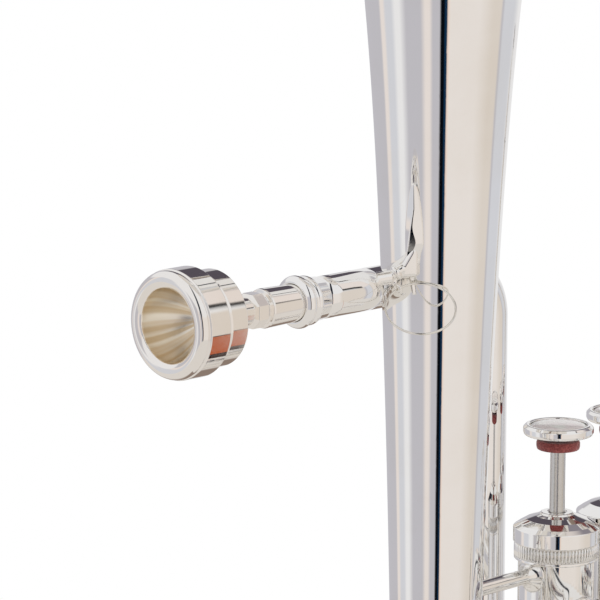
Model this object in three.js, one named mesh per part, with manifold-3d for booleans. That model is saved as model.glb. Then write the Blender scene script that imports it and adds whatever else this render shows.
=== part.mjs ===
// Alto horn, bell up, in millimetres with +Z up: three piston valves, tapered tubing, four tuning slides.
// The layout frame has the bell's axis at x = y = 0 and the bottom bow's lowest point at z = 0.
// +X runs from the mouthpiece to the valves, and the player's right hand is on the -Y side.
import * as THREE from "three";
import { mergeVertices, mergeGeometries } from "three/addons/utils/BufferGeometryUtils.js";
import Module from "manifold-3d";

const wasm = await Module();
wasm.setup();

// Fits
const seatGap = 0.3; // room left between pieces that touch
const slideGap = 0.3; // radial room of a tuning slide's leg in its socket
const shankGap = 0.15; // radial room of the mouthpiece's shank
const cutOverrun = 2; // how far a cutting shape runs past what it cuts

// Bell and bottom bow
const bellHeight = 505;
const bellRimRadius = 101.5;
const bellThroatRadius = 14.7; // outer radius where the mouthpipe passes
const bellThroatDepth = 178; // rim to that place
const bellFlareReach = 7; // how fast the flare opens at the rim
const bellWall = 0.8;
const rimBeadRadius = 2;
const rimFlatWidth = 1.2;
const rimBeadTurns = [-60, -10, 40]; // degrees round the bead's section
const bowSpan = 178; // bell axis to outer branch axis
const bowBottomRadius = 8.9; // tube's outer radius at the lowest point
const bowOuterRadius = 7.9; // tube's outer radius at the outer branch
const tubeWall = 0.8;
const ferruleWall = 1.1;
const ferruleLength = 16;
const ferruleBead = 0.7;
const bowTail = 10; // straight length at each end of the bow
const guardThickness = 1;
const guardSteps = 3; // rings of the bow that the guard covers each side of the lowest point
const guardWrap = 52; // degrees of the tube's section each side
const guardTaperShare = 0.3; // how much narrower its ends are

// Mouthpiece and receiver
const mouthpieceRimX = -94;
const mouthpipeDrop = 178; // mouthpipe axis below the bell's rim
const mouthRimRadius = 13.25;
const mouthRimCrest = 11.2;
const mouthCupRadius = 9;
const mouthBandLength = 7;
const mouthCrestReach = 1.1; // half width of the rim's highest part
const mouthRimFallShare = 0.6; // how far the rim's face falls back, of its half width
const mouthCrestShare = 0.8;
const mouthBackRadius = 11.2;
const mouthBackLength = 15;
const mouthBackRound = 0.9; // rounding behind the band
const mouthBackTaper = 0.3;
const mouthEdgeLength = 1.2; // rounded edge where the back ends
const mouthEdgeDrop = 1.6;
const mouthNeckRadius = 3.4;
const mouthNeckStart = 21.5;
const mouthNeckEnd = 26.5;
const mouthWaistShare = 1.75; // waist between back and neck, of the neck's radius
const mouthCollarRadius = 4.2;
const mouthCollarRise = 0.8;
const mouthCollarRound = 0.6;
const mouthShankStart = 29.5;
const mouthShankRadius = 4.95;
const mouthShankSeatRadius = 4.65; // at the receiver's mouth
const mouthShankEndRadius = 4.1;
const mouthpieceLength = 60;
const mouthCupDepth = 13;
const mouthCupShares = [[0.62, 0.72], [0.88, 0.4]]; // cup's radius and depth, deepest place first
const mouthThroatRadius = 2;
const mouthBackboreRadius = 3.3;
const receiverStart = 40; // rim plane to the receiver's mouth
const receiverLength = 8.5;
const receiverMouthRadius = 5.9;
const receiverBeadRadius = 6.45;
// Rise from the mouth's radius to the bead's, at places along the receiver
const receiverShares = [
  [0.45, 0.2],
  [1, 0.3],
  [0.27, 0.45],
  [-0.36, 0.52],
  [0.36, 0.65],
  [0.36, 0.8],
  [-0.18, 1],
];

// Mouthpipe
const mouthpipeRadius = 5.2;
const mouthpipeWall = 0.55;
const mouthpipeBend = 13;
const mouthpipeElbowX = -20;
const mouthpipeBackY = 26; // how far behind the bell's axis it passes
const mouthpipeTilt = 15.4; // degrees that its S-bend slopes down towards the back
const mouthpipeEndRadius = 6.2;

// Valves
const valveCount = 3;
const firstValveX = 46;
const valveSpacing = 25;
const casingRadius = 10;
const casingBore = 9.2;
const casingDrop = 72; // mouthpipe's axis to the casings' top
const casingLength = 105;
const upperPortDrop = 25; // casings' top to the upper ports' axis
const portSpacing = 35; // upper ports' axis to the lower ports'
const portRadius = 5.2;
const pistonRadius = 8.9;
const pistonTopDrop = 6; // casings' top to the piston's shoulder
const pistonTravel = 16.5;
const pistonSkirt = 8; // lower port's axis to the piston's foot
const stemRadius = 2;
const capWall = 1.1;
const capSkirt = 9;
const capDomeHeight = 3.4;
const buttonRadius = 9.2;
const buttonHeight = 4;
const pearlRadius = 7.2;
const pearlHeight = 1.5;
const feltRadius = 5.6;
const feltHeight = 2.4;
const springRadius = 6.4;
const springWire = 0.5;
const springCurls = 5;
const springSteps = 8;
const springSides = 4;

// Slides and branches
const legRadius = 5.9; // outer radius of every slide's inner leg
const legWall = 0.7;
const socketWall = 0.9;
const crookRadius = 6.6;
const collarProud = 0.7;
const collarLength = 4;
const branchBend = 12;
const frontLaneY = -25; // how far in front of the valves the slide tubes lie
const mainSlideSpan = 28; // inner branch axis to outer branch axis
const mainSocketRise = 80; // casings' top to the main slide's sockets
const mainSocketDepth = 75;
const mainLegLength = 66;
const mainReach = 3;
const innerBranchBend = 20;
const firstSocketX = -12;
const firstLegLength = 42;
const firstReach = 6;
const secondSocketY = -34;
const secondLegLength = 18;
const secondReach = 2;
const thirdSpan = 26;
const thirdSocketDrop = 83; // lower ports' axis to the third slide's sockets
const thirdLegLength = 60;
const thirdReach = 3;

// Leaf stay and wire ring on the bell
const leafAngle = -71; // degrees, azimuth of the leaf's place on the bell
const leafTop = 25.7; // above the mouthpipe's axis
const leafBottom = -2.4;
const leafWidth = 3.6;
const leafThickness = 1.9;
const leafTipShare = 0.06; // of the blade's length, where its pointed outline is cut off
const leafFullShare = 0.55; // power that fills out the outline
const leafTurns = [0, 60, 120, 180, 225, 270, 315]; // degrees round the blade's section
const leafRows = 8;
const leafBarHeight = 3.8; // bar's axis above the mouthpipe's axis
const leafBarRadius = 2;
const eyeletRadius = 1.5;
const eyeletThickness = 1.2;
const ringRadius = 9;
const ringWire = 0.4;
const ringTilt = 50; // degrees that the ring's face looks up
const ringTurn = -45; // degrees, azimuth that the ring's face looks towards
const ringStandOff = 0.5;
const ringDropShare = 0.49; // ring's centre below the mouthpipe's axis, of its radius
const ringSideShare = 0.54; // and to the side of the place that it leans on
const eyeletTurn = 39.3; // degrees round the ring from its top to the eyelet

// Stays, hook, thumb ring, lyre socket and water key
const stayRadius = 2;
const stayFootRadius = 4.6;
const stayFootLength = 1.6;
const stayRise = 13; // upper ports' axis to the bell's stay
const branchStayRise = 32; // and to the stay between the main slide's branches
const backStayX = 6;
const hookRadius = 2;
const hookBend = 9;
const hookRise = 10;
const thumbRingRadius = 12;
const thumbRingWire = 1.6;
const thumbRingRise = 10; // lower ports' axis to the ring
const lyreSocketWidth = 9;
const lyreSocketHeight = 14;
const lyreHoleWidth = 5;
const lyreScrewRadius = 1.6;
const lyreHeadRadius = 4.5;
const lyreHeadLength = 3;
const lyreScrewReach = 7;
const nippleRadius = 3;
const nippleHole = 1.5;
const nippleHeight = 3;
const keyPivotReach = 15; // nipple to pivot
const keyTouchReach = 20; // pivot to the end of the touch
const keyBarWidth = 3;
const keyBarThickness = 1.6;
const keyCupRadius = 4;
const keyCupDepth = 2;
const corkThickness = 1.4;
const keyPinRadius = 0.9;
const keyPostWidth = 2;
const keyWebHeight = 7;
const keyHubRadius = 2.2;

// Facets
const bellSides = 32;
const bellRows = 14;
const tubeSides = 12;
const boreSides = 6;
const roundSides = 16;
const smallSides = 12;
const mouthSides = 20;
const wireSides = 5;
const ringSides = 8;
const ringRows = 24;
const arcStep = 22.5; // degrees turned between two rings of a bent tube
const bowStep = 11.25; // the same, on the bottom bow
const leastStep = 0.3; // a run's places closer than this are one
const mergeReach = 0.0001; // a solid's corners closer than this are one

// Places that follow from the sizes
const up = new THREE.Vector3(0, 0, 1);
const mouthpipeZ = bellHeight - mouthpipeDrop;
const bowRadius = bowSpan / 2;
const facetTurn = 360 / tubeSides;
const bowEndZ = bowTail + bowRadius + bowBottomRadius;
const bowCentreZ = bowRadius + bowBottomRadius;
const socketBore = legRadius + slideGap;
const socketRadius = socketBore + socketWall;
const casingTop = mouthpipeZ - casingDrop;
const casingBottom = casingTop - casingLength;
const upperPortZ = casingTop - upperPortDrop;
const lowerPortZ = upperPortZ - portSpacing;
const mainSocketTop = casingTop + mainSocketRise;
const thirdSocketZ = lowerPortZ - thirdSocketDrop;
const stayZ = upperPortZ + stayRise;
const branchStayZ = upperPortZ + branchStayRise;
const thumbRingZ = lowerPortZ + thumbRingRise;
const lyreSocketZ = (bowEndZ + mainSocketTop - mainSocketDepth) / 2;
const outerX = bowSpan;
const innerX = bowSpan - mainSlideSpan;
const flarePower =
  Math.log(bellRimRadius / bellThroatRadius) /
  Math.log((bellThroatDepth + bellFlareReach) / bellFlareReach);

// Finishes
function finish(colour, roughness, metalness) {
  return new THREE.MeshStandardMaterial({ color: colour, roughness: roughness, metalness: metalness });
}
const silver = () => finish(0xdcdad6, 0.08, 1);
const gilt = () => finish(0xe6dcc4, 0.2, 1);
const steel = () => finish(0x9a9a9c, 0.3, 1);
const pearlShell = () => finish(0xf0ece2, 0.25, 0);
const redFelt = () => finish(0x6e2323, 0.95, 0);
const cork = () => finish(0xb98a56, 0.9, 0);

// A point from its three coordinates
function at(x, y, z) {
  return new THREE.Vector3(x, y, z);
}

function radians(degrees) {
  return THREE.MathUtils.degToRad(degrees);
}

// Horizontal unit vector that looks towards an azimuth, 0 towards -Y
function facing(azimuth) {
  return at(Math.sin(radians(azimuth)), -Math.cos(radians(azimuth)), 0);
}

// Closed surface to solid and back
function solidOf(geometry) {
  const bare = geometry.index ? geometry.toNonIndexed() : geometry.clone();
  const onlyPlaces = new THREE.BufferGeometry();
  onlyPlaces.setAttribute("position", bare.getAttribute("position"));
  const merged = mergeVertices(onlyPlaces, mergeReach);
  return new wasm.Manifold(
    new wasm.Mesh({
      numProp: 3,
      vertProperties: merged.attributes.position.array,
      triVerts: new Uint32Array(merged.index.array),
    }),
  );
}

function geometryOf(solid) {
  const mesh = solid.getMesh();
  const geometry = new THREE.BufferGeometry();
  geometry.setAttribute("position", new THREE.BufferAttribute(mesh.vertProperties, 3));
  geometry.setIndex(new THREE.BufferAttribute(mesh.triVerts, 1));
  return geometry;
}

function joined(geometries) {
  return geometryOf(geometries.map(solidOf).reduce((whole, piece) => whole.add(piece)));
}

function cut(geometry, cutters) {
  return geometryOf(cutters.map(solidOf).reduce((left, cutter) => left.subtract(cutter), solidOf(geometry)));
}

// A revolved profile of [radius, height] pairs, turned from the lathe's Y axis onto +Z
function turned(profile, sides) {
  const points = profile.map(([radius, height]) => new THREE.Vector2(Math.max(radius, 0), height));
  const lathe = new THREE.LatheGeometry(points, sides);
  return lathe.rotateX(Math.PI / 2);
}

// The same, along any axis: height 0 lies at the start point
function turnedAlong(profile, sides, start, direction) {
  const turn = new THREE.Quaternion().setFromUnitVectors(up, direction.clone().normalize());
  return turned(profile, sides).applyQuaternion(turn).translate(start.x, start.y, start.z);
}

// The profile of a solid round bar
function rod(radius, length) {
  return [[0, 0], [radius, 0], [radius, length], [0, length]];
}

function barAlong(radius, start, end, sides) {
  const line = end.clone().sub(start);
  return turnedAlong(rod(radius, line.length()), sides, start, line);
}

// A run of straights and round bends, which gives the same rings however it is sampled
class RunPath extends THREE.Curve {
  constructor(corners, bend, step = arcStep) {
    super();
    this.step = step;
    this.places = [];
    this.headings = [];
    const last = corners.length - 1;
    this.put(corners[0], corners[1].clone().sub(corners[0]).normalize());
    for (let i = 1; i < last; i++) {
      const inward = corners[i].clone().sub(corners[i - 1]).normalize();
      const outward = corners[i + 1].clone().sub(corners[i]).normalize();
      this.bendAt(corners[i], inward, outward, Array.isArray(bend) ? bend[i - 1] : bend);
    }
    this.put(corners[last], corners[last].clone().sub(corners[last - 1]).normalize());
  }

  put(place, heading) {
    const before = this.places.at(-1);
    if (before && before.distanceTo(place) < leastStep) return;
    this.places.push(place.clone());
    this.headings.push(heading.clone());
  }

  bendAt(corner, inward, outward, radius) {
    const turn = inward.angleTo(outward);
    const tangentLength = radius * Math.tan(turn / 2);
    const centreSide = outward.clone().sub(inward).normalize();
    const centre = corner.clone().addScaledVector(centreSide, radius / Math.cos(turn / 2));
    const axis = inward.clone().cross(outward).normalize();
    const from = corner.clone().addScaledVector(inward, -tangentLength).sub(centre);
    const steps = Math.max(2, Math.round(THREE.MathUtils.radToDeg(turn) / this.step));
    for (let i = 0; i <= steps; i++) {
      const angle = (turn * i) / steps;
      const place = from.clone().applyAxisAngle(axis, angle).add(centre);
      this.put(place, inward.clone().applyAxisAngle(axis, angle));
    }
  }

  get steps() {
    return this.places.length - 1;
  }

  lengths() {
    const lengths = [0];
    for (let i = 1; i < this.places.length; i++) {
      lengths.push(lengths[i - 1] + this.places[i].distanceTo(this.places[i - 1]));
    }
    return lengths;
  }

  getPointAt(share) {
    const along = share * this.steps;
    const low = Math.min(Math.floor(along), this.steps - 1);
    return this.places[low].clone().lerp(this.places[low + 1], along - low);
  }

  getTangentAt(share) {
    const along = share * this.steps;
    const low = Math.min(Math.floor(along), this.steps - 1);
    return this.headings[low].clone().lerp(this.headings[low + 1], along - low).normalize();
  }

  getPoint(share) {
    return this.getPointAt(share);
  }

  getTangent(share) {
    return this.getTangentAt(share);
  }
}

// Round outline of a section, or of a bore in it
function circlePoints(radius, sides) {
  return Array.from({ length: sides }, (_, i) => {
    const angle = (2 * Math.PI * i) / sides;
    return new THREE.Vector2(radius * Math.cos(angle), radius * Math.sin(angle));
  });
}

// A tube of one section along a run, hollow where it has a bore
function tubeAlong(path, radius, bore) {
  const section = new THREE.Shape(circlePoints(radius, tubeSides));
  if (bore > 0) section.holes.push(new THREE.Path(circlePoints(bore, boreSides).reverse()));
  return new THREE.ExtrudeGeometry(section, { steps: path.steps, extrudePath: path, bevelEnabled: false });
}

// A closed skin through rings of places, which are lists of equal length
function skin(rings, inwards) {
  const across = rings[0].length;
  const places = rings.flat().flatMap((place) => [place.x, place.y, place.z]);
  const faces = [];
  for (let i = 0; i < rings.length - 1; i++) {
    for (let j = 0; j < across; j++) {
      const a = i * across + j;
      const b = i * across + ((j + 1) % across);
      const c = a + across;
      const d = b + across;
      faces.push(...(inwards ? [a, c, b, b, c, d] : [a, b, c, b, d, c]));
    }
  }
  const geometry = new THREE.BufferGeometry();
  geometry.setAttribute("position", new THREE.Float32BufferAttribute(places, 3));
  geometry.setIndex(faces);
  return geometry;
}

// A flat end over a ring of places, round a bore's ring where there is one
function endFace(outline, places, hole, holePlaces, flip) {
  const faces = THREE.ShapeUtils.triangulateShape(outline, hole ? [hole] : []);
  const all = hole ? places.concat(holePlaces) : places;
  const geometry = new THREE.BufferGeometry();
  geometry.setAttribute(
    "position",
    new THREE.Float32BufferAttribute(all.flatMap((place) => [place.x, place.y, place.z]), 3),
  );
  geometry.setIndex(faces.flatMap(([a, b, c]) => (flip ? [a, c, b] : [a, b, c])));
  return geometry;
}

// A loft of one closed outline after another along stations of { place, heading, outline, bore }
function loft(stations, side) {
  const across = side.clone();
  let before = stations[0].heading;
  const rings = [];
  const boreRings = [];
  stations.forEach(({ place, heading, outline, bore }) => {
    across.applyQuaternion(new THREE.Quaternion().setFromUnitVectors(before, heading));
    const over = heading.clone().cross(across);
    const lay = (point) => place.clone().addScaledVector(across, point.x).addScaledVector(over, point.y);
    rings.push(outline.map(lay));
    if (bore) boreRings.push(bore.map(lay));
    before = heading;
  });
  const first = stations[0];
  const last = stations.at(-1);
  const pieces = [
    skin(rings, false),
    endFace(first.outline, rings[0], first.bore, boreRings[0], true),
    endFace(last.outline, rings.at(-1), last.bore, boreRings.at(-1), false),
  ];
  if (boreRings.length) pieces.push(skin(boreRings, true));
  return mergeGeometries(pieces.map((piece) => piece.toNonIndexed()));
}

// A tapered tube: radii and bores are functions of the share of the run's length
function taperedTube(path, radiusAt, boreAt, side) {
  const lengths = path.lengths();
  const whole = lengths.at(-1);
  return loft(
    path.places.map((place, i) => ({
      place: place,
      heading: path.headings[i],
      outline: circlePoints(radiusAt(lengths[i] / whole), tubeSides),
      bore: circlePoints(boreAt(lengths[i] / whole), boreSides),
    })),
    side,
  );
}

// A straight stepped stretch of round tube: rows are [distance, radius, bore] from start towards heading
function steppedStations(start, heading, rows, sides) {
  return rows.map(([distance, radius, bore]) => ({
    place: start.clone().addScaledVector(heading, distance),
    heading: heading,
    outline: circlePoints(radius, tubeSides),
    bore: circlePoints(bore, sides),
  }));
}

function named(name, geometry, material) {
  geometry.deleteAttribute("normal");
  geometry.deleteAttribute("uv");
  const shaded = geometry.index ? geometry.toNonIndexed() : geometry;
  shaded.computeVertexNormals();
  const mesh = new THREE.Mesh(shaded, material);
  mesh.name = name;
  return mesh;
}

function grouped(...meshes) {
  const group = new THREE.Group();
  group.add(...meshes);
  return group;
}

// Bell: outer radius at a depth below the rim
function bellRadiusAt(depth) {
  return bellThroatRadius * ((bellThroatDepth + bellFlareReach) / (depth + bellFlareReach)) ** flarePower;
}

function bellOuterProfile(extra) {
  const depths = bellHeight - bowEndZ - seatGap;
  const first = Math.log(rimBeadRadius + bellFlareReach);
  const last = Math.log(depths + bellFlareReach);
  return Array.from({ length: bellRows + 1 }, (_, i) => {
    const depth = Math.exp(last + ((first - last) * i) / bellRows) - bellFlareReach;
    return [bellRadiusAt(depth) + extra, bellHeight - depth];
  });
}

function bell() {
  const outer = bellOuterProfile(0);
  const inner = bellOuterProfile(-bellWall).reverse();
  const beadCentre = bellRadiusAt(0) - rimBeadRadius;
  const beadZ = bellHeight - rimBeadRadius;
  const bead = rimBeadTurns.map((degrees) => [
    beadCentre + rimBeadRadius * Math.cos(radians(degrees)),
    beadZ + rimBeadRadius * Math.sin(radians(degrees)),
  ]);
  const flat = [
    [beadCentre + rimFlatWidth / 2, bellHeight],
    [beadCentre - rimFlatWidth / 2, bellHeight],
  ];
  const back = [[beadCentre - rimBeadRadius, beadZ]];
  const whole = [...outer, ...bead, ...flat, ...back, ...inner];
  return turned([...whole, whole[0]], bellSides);
}

// A cone over the bell's outside with a clearance, to cut what is soldered on it
function bellClearance() {
  const outer = bellOuterProfile(seatGap);
  return turned([[0, outer[0][1]], ...outer, [0, outer.at(-1)[1]]], bellSides);
}

// Bow: outer radius at a share of its length from the bell
function bowRadiusAt(share) {
  const bellEnd = bellRadiusAt(bellHeight - bowEndZ);
  const middle = bowBottomRadius;
  return share < 0.5
    ? THREE.MathUtils.lerp(bellEnd, middle, share * 2)
    : THREE.MathUtils.lerp(middle, bowOuterRadius, share * 2 - 1);
}

function bowPath() {
  return new RunPath(
    [at(0, 0, bowEndZ), at(0, 0, bowBottomRadius), at(outerX, 0, bowBottomRadius), at(outerX, 0, bowEndZ)],
    bowRadius,
    bowStep,
  );
}

function bottomBow() {
  return taperedTube(bowPath(), bowRadiusAt, (share) => bowRadiusAt(share) - tubeWall, at(0, 1, 0));
}

// Guard: a bent strip with the tube's curve, soldered along the bow's outside
function bowGuard() {
  const stations = Array.from({ length: 2 * guardSteps + 1 }, (_, i) => {
    const angle = radians((i - guardSteps) * bowStep);
    const outwards = at(Math.sin(angle), 0, -Math.cos(angle));
    const side = Math.abs(i / guardSteps - 1);
    const inside = THREE.MathUtils.lerp(bowBottomRadius, bowSideRadius(), side) + seatGap;
    const outside = inside + guardThickness;
    const edge = guardWrap * (1 - guardTaperShare * side ** 2);
    const arc = (radius, turn) =>
      new THREE.Vector2(radius * Math.cos(radians(turn)), radius * Math.sin(radians(turn)));
    const turns = [-edge, -facetTurn, 0, facetTurn, edge];
    return {
      place: at(bowRadius, 0, bowCentreZ).addScaledVector(outwards, bowRadius),
      heading: at(Math.cos(angle), 0, Math.sin(angle)),
      outline: [...turns.map((turn) => arc(outside, turn)), ...turns.map((turn) => arc(inside, -turn))],
    };
  });
  const first = radians(-guardSteps * bowStep);
  return loft(stations, at(Math.sin(first), 0, -Math.cos(first)));
}

// The bow's larger outer radius at the guard's two ends
function bowSideRadius() {
  return bowRadiusAt(0.5 - (guardSteps * bowStep) / 180);
}

// Ferrule: a beaded sleeve over a joint of two tubes
function ferrule(radius) {
  const inside = radius + seatGap;
  const outside = inside + ferruleWall;
  const bead = outside + ferruleBead;
  const half = ferruleLength / 2;
  const profile = [
    [inside, -half],
    [bead, -half],
    [outside, -half + 3 * ferruleBead],
    [outside, half - 3 * ferruleBead],
    [bead, half],
    [inside, half],
  ];
  return turned([...profile, profile[0]], roundSides);
}

function bellFerrule() {
  return ferrule(bellRadiusAt(bellHeight - bowEndZ - ferruleLength / 2)).translate(0, 0, bowEndZ);
}

// Sockets: the collared mouth of an outer slide tube, as [distance, radius, bore] rows before its end
function socketRows(length) {
  return [
    [length - collarLength, socketRadius, socketBore],
    [length - collarLength, socketRadius + collarProud, socketBore],
    [length, socketRadius + collarProud, socketBore],
  ];
}

function outerBranch() {
  const start = at(outerX, 0, bowEndZ + seatGap);
  const length = mainSocketTop - start.z;
  const rows = [
    [0, bowOuterRadius, bowOuterRadius - tubeWall],
    [length - mainSocketDepth, socketRadius, socketBore],
    ...socketRows(length),
  ];
  return loft(steppedStations(start, up, rows, tubeSides), at(1, 0, 0));
}

// The outer branch tapers from the bow up to where its socket starts
function outerBranchRadiusAt(z) {
  const low = bowEndZ + seatGap;
  const share = (z - low) / (mainSocketTop - mainSocketDepth - low);
  return THREE.MathUtils.lerp(bowOuterRadius, socketRadius, THREE.MathUtils.clamp(share, 0, 1));
}

// A tube that leaves a casing, follows corners and ends in a socket
function branch(corners, bends) {
  const last = corners.at(-1);
  const before = corners.at(-2);
  const heading = last.clone().sub(before).normalize();
  const collarStart = last.clone().addScaledVector(heading, -collarLength);
  const path = new RunPath([...corners.slice(0, -1), collarStart], bends);
  const collar = [
    [0, socketRadius + collarProud, socketBore],
    [collarLength, socketRadius + collarProud, socketBore],
  ];
  const run = path.places.map((place, i) => ({
    place: place,
    heading: path.headings[i],
    outline: circlePoints(socketRadius, tubeSides),
    bore: circlePoints(socketBore, tubeSides),
  }));
  return loft([...run, ...steppedStations(collarStart, heading, collar, tubeSides)], up.clone());
}

// A U-shaped slide: two legs in two sockets, joined by a half-round crook outside them
function crook(mouthA, mouthB, pull, legLength, reach) {
  const span = mouthB.clone().sub(mouthA);
  const radius = span.length() / 2;
  const startA = mouthA.clone().addScaledVector(pull, seatGap);
  const startB = mouthB.clone().addScaledVector(pull, seatGap);
  const bore = legRadius - legWall;
  const collar = crookRadius + collarProud;
  const down = [
    [-legLength, legRadius, bore],
    [0, legRadius, bore],
    [0, collar, bore],
    [collarLength, collar, bore],
    [collarLength, crookRadius, bore],
  ];
  const far = collarLength + reach + radius;
  const bendPath = new RunPath(
    [
      startA.clone().addScaledVector(pull, collarLength),
      startA.clone().addScaledVector(pull, far),
      startB.clone().addScaledVector(pull, far),
      startB.clone().addScaledVector(pull, collarLength),
    ],
    radius,
  );
  const bend = bendPath.places.slice(1, -1).map((place, i) => ({
    place: place,
    heading: bendPath.headings[i + 1],
    outline: circlePoints(crookRadius, tubeSides),
    bore: circlePoints(bore, boreSides),
  }));
  const back = down.map(([distance, outer, inner]) => [-distance, outer, inner]).reverse();
  const stations = [
    ...steppedStations(startA, pull, down, boreSides),
    ...bend,
    ...steppedStations(startB, pull.clone().negate(), back, boreSides),
  ];
  return loft(stations, span.clone().cross(pull).normalize());
}

function valveX(index) {
  return firstValveX + index * valveSpacing;
}

// A round cutter where a casing stands, wider by the soldering gap
function casingClearance(index) {
  const height = casingLength + 2 * cutOverrun;
  return turnedAlong(
    rod(casingRadius + seatGap, height),
    roundSides,
    at(valveX(index), 0, casingBottom - cutOverrun),
    up,
  );
}

function ports(index) {
  const x = valveX(index);
  const list = [
    [at(x, 0, upperPortZ), at(0, -1, 0)],
    [at(x, 0, lowerPortZ), at(0, -1, 0)],
  ];
  const isFirst = index === 0;
  const isLast = index === valveCount - 1;
  list.push(isFirst ? [at(x, 0, lowerPortZ), at(0, 1, 0)] : [at(x, 0, knuckleZ(index - 1)), at(-1, 0, 0)]);
  list.push([at(x, 0, isLast ? upperPortZ : knuckleZ(index)), at(1, 0, 0)]);
  return list;
}

function knuckleZ(index) {
  return index % 2 === 0 ? (upperPortZ + lowerPortZ) / 2 : lowerPortZ;
}

function valveCasing(index) {
  const profile = [
    [casingBore, casingBottom],
    [casingRadius, casingBottom],
    [casingRadius, casingTop],
    [casingBore, casingTop],
  ];
  const shell = turned([...profile, profile[0]], roundSides).translate(valveX(index), 0, 0);
  const holes = ports(index).map(([start, heading]) =>
    turnedAlong(rod(portRadius, casingRadius + cutOverrun), boreSides, start, heading),
  );
  return cut(shell, holes);
}

// A screwed cap: a skirt round the casing's end under a domed plate with a hole
function cap(hole) {
  const inside = casingRadius + seatGap;
  const outside = inside + capWall;
  const profile = [
    [inside, 0],
    [outside, 0],
    [outside, capSkirt],
    [stemRadius + capDomeHeight, capSkirt + capDomeHeight],
    [hole, capSkirt + capDomeHeight],
    [hole, capSkirt + seatGap],
    [inside, capSkirt + seatGap],
  ];
  return turned([...profile, profile[0]], roundSides);
}

function pistonBottom() {
  return lowerPortZ - pistonSkirt;
}

function pistonTop() {
  return casingTop - pistonTopDrop;
}

function capTopZ() {
  return casingTop + capDomeHeight;
}

function buttonZ() {
  return capTopZ() + feltHeight + pistonTravel + 2 * seatGap;
}

// Piston: ports straight through for the open note, a hollow foot for the spring and the stem on top
function piston(index) {
  const bottom = pistonBottom();
  const top = pistonTop();
  const footHollow = springRadius + springWire + seatGap;
  const footDepth = (pistonSkirt - portRadius) / 2;
  const neck = stemRadius + (pistonRadius - stemRadius) / 3;
  const profile = [
    [0, bottom + footDepth],
    [footHollow, bottom + footDepth],
    [footHollow, bottom],
    [pistonRadius, bottom],
    [pistonRadius, top],
    [neck, top],
    [neck, casingTop - seatGap],
    [stemRadius, casingTop - seatGap],
    [stemRadius, buttonZ() - seatGap],
    [0, buttonZ() - seatGap],
  ];
  const body = turned(profile, roundSides).translate(valveX(index), 0, 0);
  const through = pistonRadius + cutOverrun;
  const holes = [upperPortZ, lowerPortZ].map((z) =>
    barAlong(portRadius, at(valveX(index), -through, z), at(valveX(index), through, z), boreSides),
  );
  const crossZ = (upperPortZ + lowerPortZ) / 2;
  holes.push(
    barAlong(
      portRadius,
      at(valveX(index) - through, 0, crossZ),
      at(valveX(index) + through, 0, crossZ),
      boreSides,
    ),
  );
  return cut(body, holes);
}

function fingerButton(index) {
  const well = pearlRadius + seatGap;
  const floor = buttonHeight - pearlHeight;
  const profile = [
    [0, 0],
    [stemRadius * 2, 0],
    [buttonRadius, floor / 2],
    [buttonRadius, buttonHeight - pearlHeight / 2],
    [well, buttonHeight],
    [well, floor],
    [0, floor],
  ];
  return turned(profile, smallSides).translate(valveX(index), 0, buttonZ());
}

function pearl(index) {
  const profile = [
    [0, 0],
    [pearlRadius, 0],
    [pearlRadius, pearlHeight / 2],
    [pearlRadius / 2, pearlHeight],
    [0, pearlHeight],
  ];
  const seat = buttonZ() + buttonHeight - pearlHeight + seatGap;
  return turned(profile, smallSides).translate(valveX(index), 0, seat);
}

function buttonFelt(index) {
  const inside = stemRadius + seatGap;
  const profile = [[inside, 0], [feltRadius, 0], [feltRadius, feltHeight], [inside, feltHeight]];
  const seat = buttonZ() - seatGap - feltHeight;
  return turned([...profile, profile[0]], smallSides).translate(valveX(index), 0, seat);
}

// Spring: one wire wound from the bottom cap's floor to the piston's foot
function springWirePath(index) {
  const low = casingBottom + springWire + seatGap;
  const high = pistonBottom() + (pistonSkirt - portRadius) / 2 - springWire - seatGap;
  const count = springCurls * springSteps;
  return Array.from({ length: count + 1 }, (_, i) => {
    const angle = (2 * Math.PI * i) / springSteps;
    return at(
      valveX(index) + springRadius * Math.cos(angle),
      springRadius * Math.sin(angle),
      THREE.MathUtils.lerp(low, high, i / count),
    );
  });
}

function springGap() {
  const places = springWirePath(0);
  let least = Infinity;
  places.forEach((place, i) =>
    places.slice(i + springSteps / 2).forEach((other) => {
      least = Math.min(least, place.distanceTo(other) - 2 * springWire);
    }),
  );
  return least;
}

function valveSpring(index) {
  const places = springWirePath(index);
  const stations = places.map((place, i) => ({
    place: place,
    heading: (places[i + 1] ?? place).clone().sub(places[i - 1] ?? place).normalize(),
    outline: circlePoints(springWire, springSides),
  }));
  return loft(stations, at(1, 0, 0).cross(stations[0].heading).normalize());
}

// Knuckle: the short tube between two casings
function knuckle(index) {
  const z = knuckleZ(index);
  const ends = [at(valveX(index), 0, z), at(valveX(index + 1), 0, z)];
  const tube = tubeAlong(new RunPath(ends, 0), portRadius + tubeWall, portRadius);
  const trimmed = solidOf(tube)
    .subtract(solidOf(casingClearance(index)))
    .subtract(solidOf(casingClearance(index + 1)));
  return geometryOf(trimmed);
}

// Inner branch: last valve to the inner socket of the main slide
function innerBranch() {
  const start = at(valveX(valveCount - 1), 0, upperPortZ);
  const corners = [start, at(innerX, 0, upperPortZ), at(innerX, 0, mainSocketTop)];
  return cut(branch(corners, innerBranchBend), [casingClearance(valveCount - 1)]);
}

// Branches of the three valve slides, upper port first
function firstBranch(z) {
  const corners = [at(valveX(0), 0, z), at(valveX(0), frontLaneY, z), at(firstSocketX, frontLaneY, z)];
  return cut(branch(corners, branchBend), [casingClearance(0)]);
}

function secondBranch(z) {
  const corners = [at(valveX(1), 0, z), at(valveX(1), secondSocketY, z)];
  return cut(branch(corners, branchBend), [casingClearance(1)]);
}

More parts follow.
